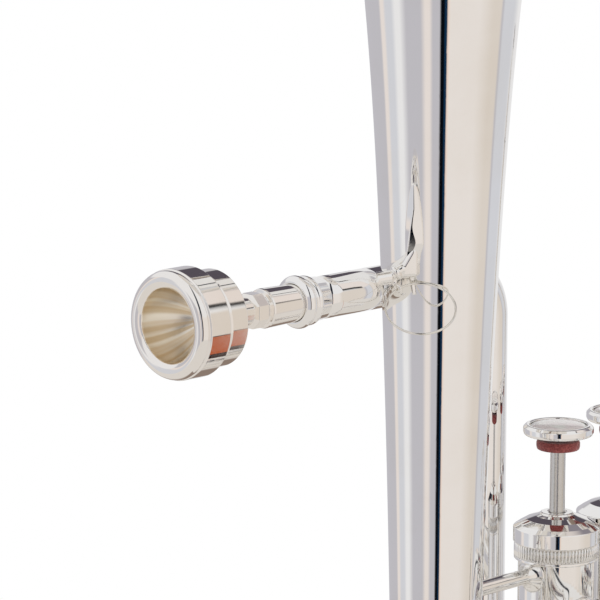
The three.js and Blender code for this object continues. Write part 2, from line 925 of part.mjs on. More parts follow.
function thirdUpperBranch() {
  const x = valveX(2);
  const corners = [
    at(x, 0, upperPortZ),
    at(x, frontLaneY, upperPortZ),
    at(x + thirdSpan, frontLaneY, upperPortZ),
    at(x + thirdSpan, frontLaneY, thirdSocketZ),
  ];
  return cut(branch(corners, branchBend), [casingClearance(2)]);
}

function thirdLowerBranch() {
  const x = valveX(2);
  const corners = [at(x, 0, lowerPortZ), at(x, frontLaneY, lowerPortZ), at(x, frontLaneY, thirdSocketZ)];
  return cut(branch(corners, branchBend), [casingClearance(2)]);
}

function mainSlide() {
  const inner = at(innerX, 0, mainSocketTop);
  const outer = at(outerX, 0, mainSocketTop);
  return crook(inner, outer, up.clone(), mainLegLength, mainReach);
}

function slideOne() {
  const low = at(firstSocketX, frontLaneY, lowerPortZ);
  const high = at(firstSocketX, frontLaneY, upperPortZ);
  return crook(low, high, at(-1, 0, 0), firstLegLength, firstReach);
}

function slideTwo() {
  const low = at(valveX(1), secondSocketY, lowerPortZ);
  const high = at(valveX(1), secondSocketY, upperPortZ);
  return crook(low, high, at(0, -1, 0), secondLegLength, secondReach);
}

function slideThree() {
  const near = at(valveX(2), frontLaneY, thirdSocketZ);
  const far = at(valveX(2) + thirdSpan, frontLaneY, thirdSocketZ);
  return crook(near, far, at(0, 0, -1), thirdLegLength, thirdReach);
}

// Mouthpiece: rim plane at distance 0, shank towards +X
function mouthpiece() {
  const outside = [
    [mouthCupRadius, rimFall(0)],
    [mouthRimCrest - mouthCrestReach, rimFall(mouthCrestShare)],
    [mouthRimCrest, 0],
    [mouthRimCrest + mouthCrestReach, rimFall(mouthCrestShare)],
    [mouthRimRadius, rimFall(0)],
    [mouthRimRadius, mouthBandLength],
    [mouthBackRadius, mouthBandLength + mouthBackRound],
    [mouthBackRadius - mouthBackTaper, mouthBackLength - mouthEdgeLength],
    [mouthBackRadius - mouthEdgeDrop, mouthBackLength],
    [mouthNeckRadius * mouthWaistShare, (mouthBackLength + mouthNeckStart) / 2],
    [mouthNeckRadius, mouthNeckStart],
    [mouthNeckRadius, mouthNeckEnd],
    [mouthCollarRadius, mouthNeckEnd + mouthCollarRise],
    [mouthCollarRadius, mouthShankStart - mouthCollarRound],
    [mouthShankRadius, mouthShankStart],
    [mouthShankSeatRadius, receiverStart],
    [mouthShankEndRadius, mouthpieceLength],
  ];
  const inside = [
    [mouthBackboreRadius, mouthpieceLength],
    [mouthThroatRadius, mouthNeckStart],
    [mouthThroatRadius, mouthCupDepth],
    ...mouthCupShares.map(([radius, depth]) => [mouthCupRadius * radius, mouthCupDepth * depth]),
  ];
  const whole = [...outside, ...inside];
  return turnedAlong([...whole, whole[0]], mouthSides, at(mouthpieceRimX, 0, mouthpipeZ), at(1, 0, 0));
}

// How far the rim's rounded face has fallen back at a share of its half width
function rimFall(share) {
  return (mouthRimRadius - mouthRimCrest) * mouthRimFallShare * (1 - share);
}

function receiverX() {
  return mouthpieceRimX + receiverStart;
}

// Receiver: flared mouth, large bead, small bead, and the sleeve round the mouthpipe's end
function receiver() {
  const roomy = 1 / Math.cos(Math.PI / roundSides);
  const profile = [
    [shankBoreAt(0) * roomy, 0],
    [receiverMouthRadius, 0],
    ...receiverShares.map(([rise, along]) => [
      THREE.MathUtils.lerp(receiverMouthRadius, receiverBeadRadius, rise),
      receiverLength * along,
    ]),
    [shankBoreAt(receiverLength) * roomy, receiverLength],
  ];
  return turnedAlong([...profile, profile[0]], roundSides, at(receiverX(), 0, mouthpipeZ), at(1, 0, 0));
}

// Bore that clears the shank at a distance past the receiver's mouth
function shankBoreAt(distance) {
  const share = distance / (mouthpieceLength - receiverStart);
  return THREE.MathUtils.lerp(mouthShankSeatRadius, mouthShankEndRadius, Math.min(share, 1)) + shankGap;
}

// Mouthpipe: straight from the receiver, an S-bend in a tilted plane behind the bell, then down to valve 1
function mouthpipePath() {
  const fall = mouthpipeBackY * Math.tan(radians(mouthpipeTilt));
  const backZ = mouthpipeZ - fall;
  const x = valveX(0);
  return new RunPath(
    [
      at(receiverX() + receiverLength + seatGap, 0, mouthpipeZ),
      at(mouthpipeElbowX, 0, mouthpipeZ),
      at(mouthpipeElbowX, mouthpipeBackY, backZ),
      at(x, mouthpipeBackY, backZ),
      at(x, mouthpipeBackY, lowerPortZ),
      at(x, 0, lowerPortZ),
    ],
    mouthpipeBend,
  );
}

function mouthpipe() {
  const path = mouthpipePath();
  const start = path.places[0];
  const shankEnd = at(mouthpieceRimX + mouthpieceLength, 0, mouthpipeZ);
  path.places.splice(1, 0, shankEnd.clone(), shankEnd.clone().add(at(seatGap, 0, 0)));
  path.headings.splice(1, 0, path.headings[0].clone(), path.headings[0].clone());
  const roomy = 1 / Math.cos(Math.PI / tubeSides);
  const lengths = path.lengths();
  const whole = lengths.at(-1);
  const straight = shankEnd.x - start.x;
  const stations = path.places.map((place, i) => {
    const share = Math.max(0, (lengths[i] - straight) / (whole - straight));
    const radius = THREE.MathUtils.lerp(mouthpipeRadius, mouthpipeEndRadius, share);
    const inShank = lengths[i] < straight + seatGap / 2;
    const bore = inShank ? shankBoreAt(receiverLength + seatGap + lengths[i]) * roomy : radius - mouthpipeWall;
    return {
      place: place,
      heading: path.headings[i],
      outline: circlePoints(radius, tubeSides),
      bore: circlePoints(bore, tubeSides),
    };
  });
  return cut(loft(stations, up.clone()), [casingClearance(0)]);
}

function mouthpipeClearance() {
  return tubeAlong(mouthpipePath(), mouthpipeRadius + seatGap, 0);
}

// Leaf stay: a slim pointed leaf on the bell, a bar to the mouthpipe's elbow and an eyelet under it
function leafPlace(height, outwards) {
  const depth = mouthpipeDrop - height;
  return facing(leafAngle)
    .multiplyScalar(bellRadiusAt(depth) + outwards)
    .setZ(mouthpipeZ + height);
}

function leafBlade() {
  const lens = leafTurns.map(radians);
  const stations = Array.from({ length: leafRows + 1 }, (_, i) => {
    const share = i / leafRows;
    const height = THREE.MathUtils.lerp(leafBottom, leafTop, share);
    const arch = Math.sin(Math.PI * THREE.MathUtils.lerp(leafTipShare, 1 - leafTipShare, share));
    const halfWidth = (leafWidth / 2) * arch ** leafFullShare;
    const halfThickness = (leafThickness / 2) * arch ** leafFullShare;
    return {
      place: leafPlace(height, seatGap + halfThickness),
      heading: up.clone(),
      outline: lens.map(
        (angle) => new THREE.Vector2(halfWidth * Math.cos(angle), halfThickness * Math.sin(angle)),
      ),
    };
  });
  return loft(stations, up.clone().cross(facing(leafAngle)).negate());
}

function elbowPlace() {
  const turn = radians(45);
  const y = mouthpipeBend * (1 - Math.cos(turn));
  return at(
    mouthpipeElbowX - mouthpipeBend * (1 - Math.sin(turn)),
    y,
    mouthpipeZ - y * Math.tan(radians(mouthpipeTilt)),
  );
}

function eyeletPlace() {
  return ringCentre()
    .addScaledVector(ringAcross(), -ringRadius * Math.sin(radians(eyeletTurn)))
    .addScaledVector(ringUp(), ringRadius * Math.cos(radians(eyeletTurn)));
}

function leafStay() {
  const barStart = leafPlace(leafBarHeight, leafThickness / 2);
  const barEnd = elbowPlace().setZ(mouthpipeZ + leafBarHeight);
  const eyelet = eyeletPlace();
  const foot = leafPlace(eyelet.z - mouthpipeZ, leafThickness / 2);
  const bar = barAlong(leafBarRadius, barStart, barEnd, tubeSides);
  const lug = barAlong(eyeletThickness, foot, eyelet, boreSides);
  const boss = turnedAlong(
    rod(eyeletRadius, eyeletThickness),
    tubeSides,
    eyelet.clone().addScaledVector(ringTangent(), -eyeletThickness / 2),
    ringTangent(),
  );
  const whole = joined([leafBlade(), bar, lug, boss]);
  return cut(whole, [mouthpipeClearance(), bellClearance(), ringOf(ringWire + seatGap)]);
}

// Wire ring: hangs through the eyelet and leans back on the bell
function ringAcross() {
  return facing(ringTurn + 90);
}

function ringUp() {
  const tilt = radians(ringTilt);
  return facing(ringTurn).multiplyScalar(-Math.sin(tilt)).setZ(Math.cos(tilt));
}

function ringTangent() {
  const turn = radians(eyeletTurn);
  return ringAcross().multiplyScalar(Math.cos(turn)).addScaledVector(ringUp(), Math.sin(turn));
}

function ringCentre() {
  const height = -ringRadius * ringDropShare;
  const sideways = -ringRadius * ringSideShare;
  const top = height + ringRadius * Math.cos(radians(ringTilt));
  const surface = Math.sqrt((bellRadiusAt(mouthpipeDrop - top) + ringWire + ringStandOff) ** 2 - sideways ** 2);
  const outwards = surface + ringRadius * Math.sin(radians(ringTilt));
  return facing(ringTurn)
    .multiplyScalar(outwards)
    .addScaledVector(ringAcross(), sideways)
    .setZ(mouthpipeZ + height);
}

function ringOf(wire) {
  const ring = new THREE.TorusGeometry(ringRadius, wire, wireSides, ringRows);
  const normal = ringAcross().cross(ringUp());
  const frame = new THREE.Matrix4().makeBasis(ringAcross(), ringUp(), normal);
  return ring.applyMatrix4(frame).translate(...ringCentre().toArray());
}

// Stay: a round bar with a flared foot at each end
function stay(start, end) {
  const line = end.clone().sub(start);
  const length = line.length();
  const profile = [
    [0, 0],
    [stayFootRadius, 0],
    [stayRadius, stayFootLength],
    [stayRadius, length - stayFootLength],
    [stayFootRadius, length],
    [0, length],
  ];
  return turnedAlong(profile, tubeSides, start, line);
}

function bellStay() {
  const bellSide = at(bellRadiusAt(bellHeight - stayZ) - stayFootLength / 2, 0, stayZ);
  const valveSide = at(valveX(0) - casingRadius + stayFootLength / 2, 0, stayZ);
  return cut(stay(bellSide, valveSide), [bellClearance(), casingClearance(0)]);
}

function branchStay() {
  const inner = at(innerX + socketRadius + seatGap, 0, branchStayZ);
  const outer = at(outerX - socketRadius - seatGap, 0, branchStayZ);
  return stay(inner, outer);
}

function thirdSlideStay() {
  const z = (lowerPortZ + thirdSocketZ) / 2 + ferruleLength / 2;
  const left = at(valveX(2) + socketRadius + seatGap, frontLaneY, z);
  const right = at(valveX(2) + thirdSpan - socketRadius - seatGap, frontLaneY, z);
  return stay(left, right);
}

function backStay() {
  const fall = mouthpipeBackY * Math.tan(radians(mouthpipeTilt));
  const z = mouthpipeZ - fall;
  const bellSide = at(backStayX, bellRadiusAt(bellHeight - z) - stayFootLength, z);
  const pipeSide = at(backStayX, mouthpipeBackY, z);
  return cut(stay(bellSide, pipeSide), [bellClearance(), mouthpipeClearance()]);
}

// Finger hook: a bent rod on the third valve's upper branch
function fingerHook() {
  const foot = at(valveX(2) + thirdSpan / 2, frontLaneY, upperPortZ + socketRadius + seatGap);
  const path = new RunPath(
    [
      foot,
      foot.clone().add(at(0, 0, hookRise + hookBend)),
      foot.clone().add(at(0, -2 * hookBend, hookRise + hookBend)),
      foot.clone().add(at(0, -2 * hookBend, hookRise - hookBend / 2)),
    ],
    hookBend,
  );
  return tubeAlong(path, hookRadius, 0);
}

// Thumb ring: a round ring and its foot on the second casing's far side
function thumbRing() {
  const centre = at(valveX(1), casingRadius + seatGap + thumbRingWire + thumbRingRadius, thumbRingZ);
  const ring = new THREE.TorusGeometry(thumbRingRadius, thumbRingWire, ringSides, ringRows);
  ring.translate(centre.x, centre.y, centre.z);
  const foot = barAlong(
    stayFootRadius,
    at(valveX(1), casingRadius - thumbRingWire, thumbRingZ),
    at(valveX(1), casingRadius + 2 * thumbRingWire, thumbRingZ),
    tubeSides,
  );
  return cut(joined([ring, foot]), [casingClearance(1)]);
}

// Lyre socket: a small square tube on the outer branch, clamped by a thumbscrew
function lyreY() {
  return -(outerBranchRadiusAt(lyreSocketZ - lyreSocketHeight / 2) + seatGap + lyreSocketWidth / 2);
}

function lyreSocket() {
  const body = new THREE.BoxGeometry(lyreSocketWidth, lyreSocketWidth, lyreSocketHeight);
  const hole = new THREE.BoxGeometry(lyreHoleWidth, lyreHoleWidth, lyreSocketHeight + 2 * cutOverrun);
  const centre = at(outerX, lyreY(), lyreSocketZ);
  body.translate(centre.x, centre.y, centre.z);
  hole.translate(centre.x, centre.y, centre.z);
  const screwHole = barAlong(
    lyreScrewRadius + seatGap,
    at(outerX, lyreY(), lyreSocketZ),
    at(outerX, lyreY() - lyreSocketWidth, lyreSocketZ),
    boreSides,
  );
  return cut(body, [hole, screwHole]);
}

function lyreScrew() {
  const face = lyreY() - lyreSocketWidth / 2;
  const tip = lyreY() - lyreHoleWidth / 2 + seatGap;
  const headStart = lyreY() - lyreScrewReach;
  const shank = barAlong(
    lyreScrewRadius,
    at(outerX, tip, lyreSocketZ),
    at(outerX, headStart - seatGap, lyreSocketZ),
    boreSides,
  );
  const head = barAlong(
    lyreHeadRadius,
    at(outerX, Math.min(headStart, face - seatGap), lyreSocketZ),
    at(outerX, Math.min(headStart, face - seatGap) - lyreHeadLength, lyreSocketZ),
    roundSides,
  );
  return joined([shank, head]);
}

// Water key on the bottom bow: nipple and posts, lever, cork, pin and spring, all on the -Y side
function keyFaceY() {
  return -(bowBottomRadius + nippleHeight + seatGap);
}

function keyZ() {
  return bowBottomRadius;
}

function keyPivot() {
  return at(bowRadius + keyPivotReach, keyFaceY() - corkThickness - keyCupDepth / 2, keyZ());
}

function bowClearance() {
  return tubeAlong(bowPath(), bowBottomRadius + seatGap, 0);
}

function keySaddle() {
  const nippleTip = at(bowRadius, -(bowBottomRadius + nippleHeight), keyZ());
  const nipple = barAlong(nippleRadius, at(bowRadius, 0, keyZ()), nippleTip, tubeSides);
  const pivot = keyPivot();
  const depth = -pivot.y + keyPostWidth;
  const posts = [-1, 1].map((side) =>
    new THREE.BoxGeometry(2 * keyPostWidth, depth, keyPostWidth).translate(
      pivot.x,
      -depth / 2,
      pivot.z + side * (keyBarWidth / 2 + seatGap + keyPostWidth / 2),
    ),
  );
  const webLength = keyPivotReach + keyPostWidth;
  const webDepth = bowBottomRadius + seatGap + keyBarThickness;
  const web = new THREE.BoxGeometry(webLength, webDepth, keyWebHeight);
  web.translate(bowRadius + webLength / 2, -webDepth / 2, pivot.z);
  const whole = joined([nipple, ...posts, web]);
  const boreEnd = nippleTip.clone().add(at(0, -cutOverrun, 0));
  const bore = barAlong(nippleHole, at(bowRadius, cutOverrun, keyZ()), boreEnd, boreSides);
  const pinHole = barAlong(
    keyPinRadius + seatGap,
    pivot.clone().add(at(0, 0, -keyWebHeight)),
    pivot.clone().add(at(0, 0, keyWebHeight)),
    boreSides,
  );
  return cut(whole, [bowClearance(), bore, pinHole]);
}

function keyLever() {
  const pivot = keyPivot();
  const cupX = bowRadius;
  const cup = barAlong(
    keyCupRadius,
    at(cupX, keyFaceY() - corkThickness - seatGap, pivot.z),
    at(cupX, keyFaceY() - corkThickness - seatGap - keyCupDepth, pivot.z),
    roundSides,
  );
  const bar = new THREE.BoxGeometry(keyPivotReach + keyTouchReach, keyBarThickness, keyBarWidth);
  const barY = pivot.y - keyHubRadius + keyBarThickness / 2;
  bar.translate(cupX + (keyPivotReach + keyTouchReach) / 2, barY, pivot.z);
  const hub = barAlong(
    keyHubRadius,
    pivot.clone().add(at(0, 0, -keyBarWidth / 2)),
    pivot.clone().add(at(0, 0, keyBarWidth / 2)),
    tubeSides,
  );
  const touch = barAlong(
    keyCupRadius,
    at(pivot.x + keyTouchReach, barY + keyBarThickness / 2, pivot.z),
    at(pivot.x + keyTouchReach, barY - keyBarThickness / 2, pivot.z),
    roundSides,
  );
  const pinHole = barAlong(
    keyPinRadius + seatGap,
    pivot.clone().add(at(0, 0, -keyBarWidth)),
    pivot.clone().add(at(0, 0, keyBarWidth)),
    boreSides,
  );
  return cut(joined([cup, bar, hub, touch]), [pinHole]);
}

function keyCork() {
  return barAlong(
    keyCupRadius - seatGap,
    at(bowRadius, keyFaceY(), keyZ()),
    at(bowRadius, keyFaceY() - corkThickness, keyZ()),
    roundSides,
  );
}

function keyPin() {
  const half = keyBarWidth / 2 + seatGap + keyPostWidth;
  const pivot = keyPivot();
  const low = pivot.clone().add(at(0, 0, -half));
  const high = pivot.clone().add(at(0, 0, half));
  return barAlong(keyPinRadius, low, high, boreSides);
}

// The whole horn
const horn = new THREE.Group();
horn.add(
  grouped(
    named("bell", bell(), silver()),
    named("bottom_bow", bottomBow(), silver()),
    named("bow_guard", bowGuard(), silver()),
    named("bell_ferrule", bellFerrule(), silver()),
    named("outer_ferrule", ferrule(bowOuterRadius).translate(outerX, 0, bowEndZ), silver()),
    named("outer_branch", outerBranch(), silver()),
    named("inner_branch", innerBranch(), silver()),
    named("main_slide", mainSlide(), silver()),
  ),
  grouped(
    named("mouthpiece", mouthpiece(), gilt()),
    named("receiver", receiver(), silver()),
    named("mouthpipe", mouthpipe(), silver()),
    named("leaf_stay", leafStay(), silver()),
    named("wire_ring", ringOf(ringWire), steel()),
  ),
  grouped(
    named("first_upper_branch", firstBranch(upperPortZ), silver()),
    named("first_lower_branch", firstBranch(lowerPortZ), silver()),
    named("first_slide", slideOne(), silver()),
    named("second_upper_branch", secondBranch(upperPortZ), silver()),
    named("second_lower_branch", secondBranch(lowerPortZ), silver()),
    named("second_slide", slideTwo(), silver()),
    named("third_upper_branch", thirdUpperBranch(), silver()),
    named("third_lower_branch", thirdLowerBranch(), silver()),
    named("third_slide", slideThree(), silver()),
  ),
  grouped(
    named("bell_stay", bellStay(), silver()),
    named("branch_stay", branchStay(), silver()),
    named("third_slide_stay", thirdSlideStay(), silver()),
    named("back_stay", backStay(), silver()),
    named("finger_hook", fingerHook(), silver()),
    named("thumb_ring", thumbRing(), silver()),
    named("lyre_socket", lyreSocket(), silver()),
    named("lyre_screw", lyreScrew(), silver()),
  ),
  grouped(
    named("key_saddle", keySaddle(), silver()),
    named("key_lever", keyLever(), silver()),
    named("key_cork", keyCork(), cork()),
    named("key_pin", keyPin(), steel()),
  ),
);

const capFootZ = casingBottom + capSkirt;
for (let i = 0; i < valveCount; i++) {
  const number = i + 1;
  const x = valveX(i);
  horn.add(
    grouped(
      named("valve_casing_" + number, valveCasing(i), silver()),
      named("top_cap_" + number, cap(stemRadius + seatGap).translate(x, 0, casingTop - capSkirt), silver()),
      named("bottom_cap_" + number, cap(stemRadius).rotateX(Math.PI).translate(x, 0, capFootZ), silver()),
      named("piston_" + number, piston(i), steel()),
      named("finger_button_" + number, fingerButton(i), silver()),
      named("pearl_" + number, pearl(i), pearlShell()),
      named("button_felt_" + number, buttonFelt(i), redFelt()),
      named("valve_spring_" + number, valveSpring(i), steel()),
    ),
  );
  if (i < valveCount - 1) horn.add(named("knuckle_" + number, knuckle(i), silver()));
}

console.log("least gap between a valve spring's curls: " + springGap().toFixed(2) + " mm");

// The origin is the hand grip, in the middle of the second valve's casing
horn.position.set(-valveX(1), 0, -(casingBottom + casingLength / 2));

export default horn;
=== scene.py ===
"""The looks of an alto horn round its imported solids: tubing, mouthpiece, valves, slides and stays.

Sizes are millimetres in the maker's layout, which has the bell's axis at x = y = 0 and the bottom
bow's lowest point at z = 0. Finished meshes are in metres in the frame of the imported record.
"""

import logging
import math
from dataclasses import dataclass
from enum import Enum
from typing import Callable, Dict, List, Optional, Sequence, Tuple

import bmesh
import bpy
from mathutils import Matrix, Quaternion, Vector

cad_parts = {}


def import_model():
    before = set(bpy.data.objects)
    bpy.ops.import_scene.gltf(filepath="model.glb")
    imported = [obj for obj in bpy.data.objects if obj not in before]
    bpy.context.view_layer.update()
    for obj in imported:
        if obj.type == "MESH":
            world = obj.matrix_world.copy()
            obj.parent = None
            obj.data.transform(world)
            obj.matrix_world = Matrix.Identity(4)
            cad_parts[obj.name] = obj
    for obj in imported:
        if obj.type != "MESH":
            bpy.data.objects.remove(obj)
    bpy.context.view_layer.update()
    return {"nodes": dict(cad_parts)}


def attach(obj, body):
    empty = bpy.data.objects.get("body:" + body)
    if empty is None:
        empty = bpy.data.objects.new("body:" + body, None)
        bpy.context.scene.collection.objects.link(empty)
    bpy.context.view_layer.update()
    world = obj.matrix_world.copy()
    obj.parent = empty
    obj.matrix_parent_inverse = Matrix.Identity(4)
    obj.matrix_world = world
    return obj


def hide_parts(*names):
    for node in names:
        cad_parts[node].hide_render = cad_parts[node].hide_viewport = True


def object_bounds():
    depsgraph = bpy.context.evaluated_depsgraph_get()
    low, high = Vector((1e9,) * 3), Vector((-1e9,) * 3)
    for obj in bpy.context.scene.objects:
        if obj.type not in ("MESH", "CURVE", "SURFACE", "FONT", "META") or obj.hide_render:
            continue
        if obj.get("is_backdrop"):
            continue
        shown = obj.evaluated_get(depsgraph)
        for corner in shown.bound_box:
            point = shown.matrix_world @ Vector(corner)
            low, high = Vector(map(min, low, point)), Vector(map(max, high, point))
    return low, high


log = logging.getLogger("alto_horn")

MM = 0.001
LAYOUT_SHIFT = Vector((-71.0, 0.0, -202.5))
UP = Vector((0.0, 0.0, 1.0))
Profile = List[Tuple[float, float]]
Colour = Tuple[float, float, float]
Span = Tuple[float, float]
Node = bpy.types.Node
Socket = bpy.types.NodeSocket
NodeTree = bpy.types.NodeTree
Material = bpy.types.Material
Piece = bpy.types.Object
Links = Dict[object, object]


class Sides(Enum):
    """How finely a round piece is divided, by how closely it is looked at."""

    SMALL = 32
    TUBE = 72
    FINE = 128


class Slot(Enum):
    """The record's material slots."""

    SILVER = "silver_plate"
    MOUTHPIECE = "mouthpiece_plate"
    WIRE = "ring_wire"
    PISTON = "piston_metal"
    SPRING = "spring_steel"
    PEARL = "pearl"
    FELT = "felt"
    CORK = "cork"


# Shader node groups and finishes


def wire(tree: NodeTree, start: Socket, end: Socket) -> None:
    """Links two sockets."""
    tree.links.new(start, end)


def put(tree: NodeTree, kind: str, links: Optional[Links] = None, **values: object) -> Node:
    """Adds a node, sets its properties and input values, and feeds its inputs.

    Args:
        tree: The node tree that gets the node.
        kind: The node's type name.
        links: Input name or number to the socket or the value that feeds it.
        values: Property values, or input values where the node has an input of that name; an
            underscore stands for a blank.

    Returns:
        The new node.
    """
    node = tree.nodes.new(kind)
    for key, value in values.items():
        socket = key.replace("_", " ")
        if socket in node.inputs:
            node.inputs[socket].default_value = value
        else:
            setattr(node, key, value)
    for key, given in (links or {}).items():
        if isinstance(given, Socket):
            wire(tree, given, node.inputs[key])
        else:
            node.inputs[key].default_value = given
    return node


def calc(tree: NodeTree, operation: str, *terms: object) -> Socket:
    """The result of a math node on numbers or sockets."""
    return put(tree, "ShaderNodeMath", dict(enumerate(terms)), operation=operation).outputs[0]


def here(tree: NodeTree) -> Socket:
    """The Object coordinates."""
    return tree.nodes.new("ShaderNodeTexCoord").outputs["Object"]


def ranged(tree: NodeTree, value: Socket, low: float, high: float, span: Span = (0, 1)) -> Socket:
    """A number from low to high while another one runs through a span."""
    ends = {"Value": value, "From Min": span[0], "From Max": span[1], "To Min": low, "To Max": high}
    return put(tree, "ShaderNodeMapRange", ends).outputs[0]


def colour_mix(tree: NodeTree, share: Socket, low: object, high: object) -> Socket:
    """A colour between two, by a mask.

    Args:
        tree: The node tree.
        share: The mask.
        low: The colour at 0, as a socket or as linear light.
        high: The colour at 1, as a socket or as linear light.

    Returns:
        The mixed colour's socket.
    """
    start, end = [tone if isinstance(tone, Socket) else (*tone, 1.0) for tone in (low, high)]
    return put(tree, "ShaderNodeMix", {0: share, 6: start, 7: end}, data_type="RGBA").outputs[2]


def ramped(tree: NodeTree, value: Socket, stops: Sequence[Tuple[float, Colour]]) -> Socket:
    """A colour that runs through several stops.

    Args:
        tree: The node tree.
        value: The place on the ramp, from 0 to 1.
        stops: Rising positions with their colours.

    Returns:
        The colour's socket.
    """
    node = put(tree, "ShaderNodeValToRGB", {0: value})
    elements = node.color_ramp.elements
    for i, (position, colour) in enumerate(stops):
        element = elements[i] if i < 2 else elements.new(position)
        element.position = position
        element.color = (*colour, 1.0)
    return node.outputs[0]


def blank_material(name: str) -> Tuple[Material, NodeTree, Node]:
    """A new material with its node tree and its Principled shader.

    Args:
        name: The material's name.

    Returns:
        The material, its tree and its shader.
    """
    material = bpy.data.materials.new(name)
    material.use_nodes = True
    tree = material.node_tree
    return material, tree, tree.nodes["Principled BSDF"]


def coated(tree: NodeTree, shader: Node, colour: Socket, dull: Socket, **values: float) -> None:
    """Feeds colour and roughness to a shader and sets its other values.

    Args:
        tree: The node tree.
        shader: The Principled shader.
        colour: The colour that feeds it.
        dull: The roughness that feeds it.
        values: Other input values, with an underscore for a blank.
    """
    wire(tree, colour, shader.inputs["Base Color"])
    wire(tree, dull, shader.inputs["Roughness"])
    for key, value in values.items():
        shader.inputs[key.replace("_", " ")].default_value = value


def bumped(tree: NodeTree, height: Socket, shader: Node, distance: float, strength: float) -> None:
    """Feeds a height to a shader's normal through a bump."""
    bump = put(tree, "ShaderNodeBump", {"Height": height}, Strength=strength, Distance=distance)
    wire(tree, bump.outputs[0], shader.inputs["Normal"])


def shader_group(
    name: str,
    inputs: Dict[str, float],
    outputs: Sequence[str],
) -> Tuple[NodeTree, Node, Node]:
    """Starts a shader node group that takes a vector and named numbers.

    Args:
        name: The group's name.
        inputs: Number inputs with their defaults.
        outputs: Names of the number outputs.

    Returns:
        The tree, its input node and its output node.
    """
    tree = bpy.data.node_groups.new(name, "ShaderNodeTree")
    tree.interface.new_socket("Vector", in_out="INPUT", socket_type="NodeSocketVector")
    for key, value in inputs.items():
        socket = tree.interface.new_socket(key, in_out="INPUT", socket_type="NodeSocketFloat")
        socket.default_value = value
    for key in outputs:
        tree.interface.new_socket(key, in_out="OUTPUT", socket_type="NodeSocketFloat")
    return tree, tree.nodes.new("NodeGroupInput"), tree.nodes.new("NodeGroupOutput")


def polish_marks_group() -> NodeTree:
    """The fine scratches of a polishing cloth over the slow waves of hand-drawn tube.

    Returns:
        The group's tree.
    """
    scales = {"Scratch scale": 900.0, "Wave scale": 60.0}
    tree, start, end = shader_group("Polish marks", scales, ("Height", "Mask"))
    given = start.outputs
    crossed = []
    for stretch in ((1.0, 0.06, 0.5), (0.08, 1.0, 0.3)):
        links = {"Vector": given["Vector"], "Scale": stretch, "Rotation": (0.3, 0.2, 0.5)}
        turned = put(tree, "ShaderNodeMapping", links).outputs[0]
        links = {"Vector": turned, "Scale": given["Scratch scale"]}
        crossed.append(put(tree, "ShaderNodeTexNoise", links, Detail=2.0).outputs[0])
    sharp = ranged(tree, calc(tree, "MULTIPLY", *crossed), 0.0, 1.0, (0.3, 0.42))
    links = {"Vector": given["Vector"], "Scale": given["Wave scale"]}
    waves = put(tree, "ShaderNodeTexNoise", links, Detail=1.0)
    wire(tree, calc(tree, "MULTIPLY_ADD", sharp, 0.02, waves.outputs[0]), end.inputs["Height"])
    wire(tree, sharp, end.inputs["Mask"])
    return tree


def handling_group() -> NodeTree:
    """Soft patches where hands and cloths have dulled a surface.

    Returns:
        The group's tree.
    """
    tree, start, end = shader_group("Handling", {"Scale": 30.0, "Threshold": 0.45}, ("Mask",))
    given = start.outputs
    links = {"Vector": given["Vector"], "Scale": given["Scale"]}
    noise = put(tree, "ShaderNodeTexNoise", links, Detail=5.0, Roughness=0.6)
    links = {"Value": noise.outputs[0], "From Min": given["Threshold"]}
    wire(tree, put(tree, "ShaderNodeMapRange", links, From_Max=0.8).outputs[0], end.inputs["Mask"])
    return tree


class Groups:
    """The shared node groups, built once."""

    built: Dict[str, NodeTree] = {}

    @classmethod
    def place(cls, tree: NodeTree, maker: Callable[[], NodeTree], **values: float) -> Node:
        """Places a shared group in a material, on Object coordinates.

        Args:
            tree: The material's node tree.
            maker: The function that builds the group.
            values: Values for the group's named inputs.

        Returns:
            The group node.
        """
        if maker.__name__ not in cls.built:
            cls.built[maker.__name__] = maker()
        group = cls.built[maker.__name__]
        return put(tree, "ShaderNodeGroup", {"Vector": here(tree)}, node_tree=group, **values)


@dataclass(frozen=True)
class Plate:
    """Polished or satin metal with polishing marks, slow waves and dulled patches."""

    name: str
    bright: Colour
    dulled: Colour
    smooth: float
    dull: float
    relief: float = 0.00004
    wave_scale: float = 60.0
    scratch_scale: float = 900.0
    scratch_share: float = 0.35

    def material(self) -> Material:
        """Builds the material.

        Returns:
            The material.
        """
        material, tree, shader = blank_material(self.name)
        scales = {"Wave_scale": self.wave_scale, "Scratch_scale": self.scratch_scale}
        marks = Groups.place(tree, polish_marks_group, **scales)
        worn = Groups.place(tree, handling_group).outputs["Mask"]
        faint = calc(tree, "MULTIPLY", marks.outputs["Mask"], self.scratch_share)
        dullness = ranged(tree, calc(tree, "MAXIMUM", faint, worn), self.smooth, self.dull)
        colour = colour_mix(tree, worn, self.bright, self.dulled)
        coated(tree, shader, colour, dullness, Metallic=1.0)
        bumped(tree, marks.outputs["Height"], shader, self.relief, 1.0)
        return material


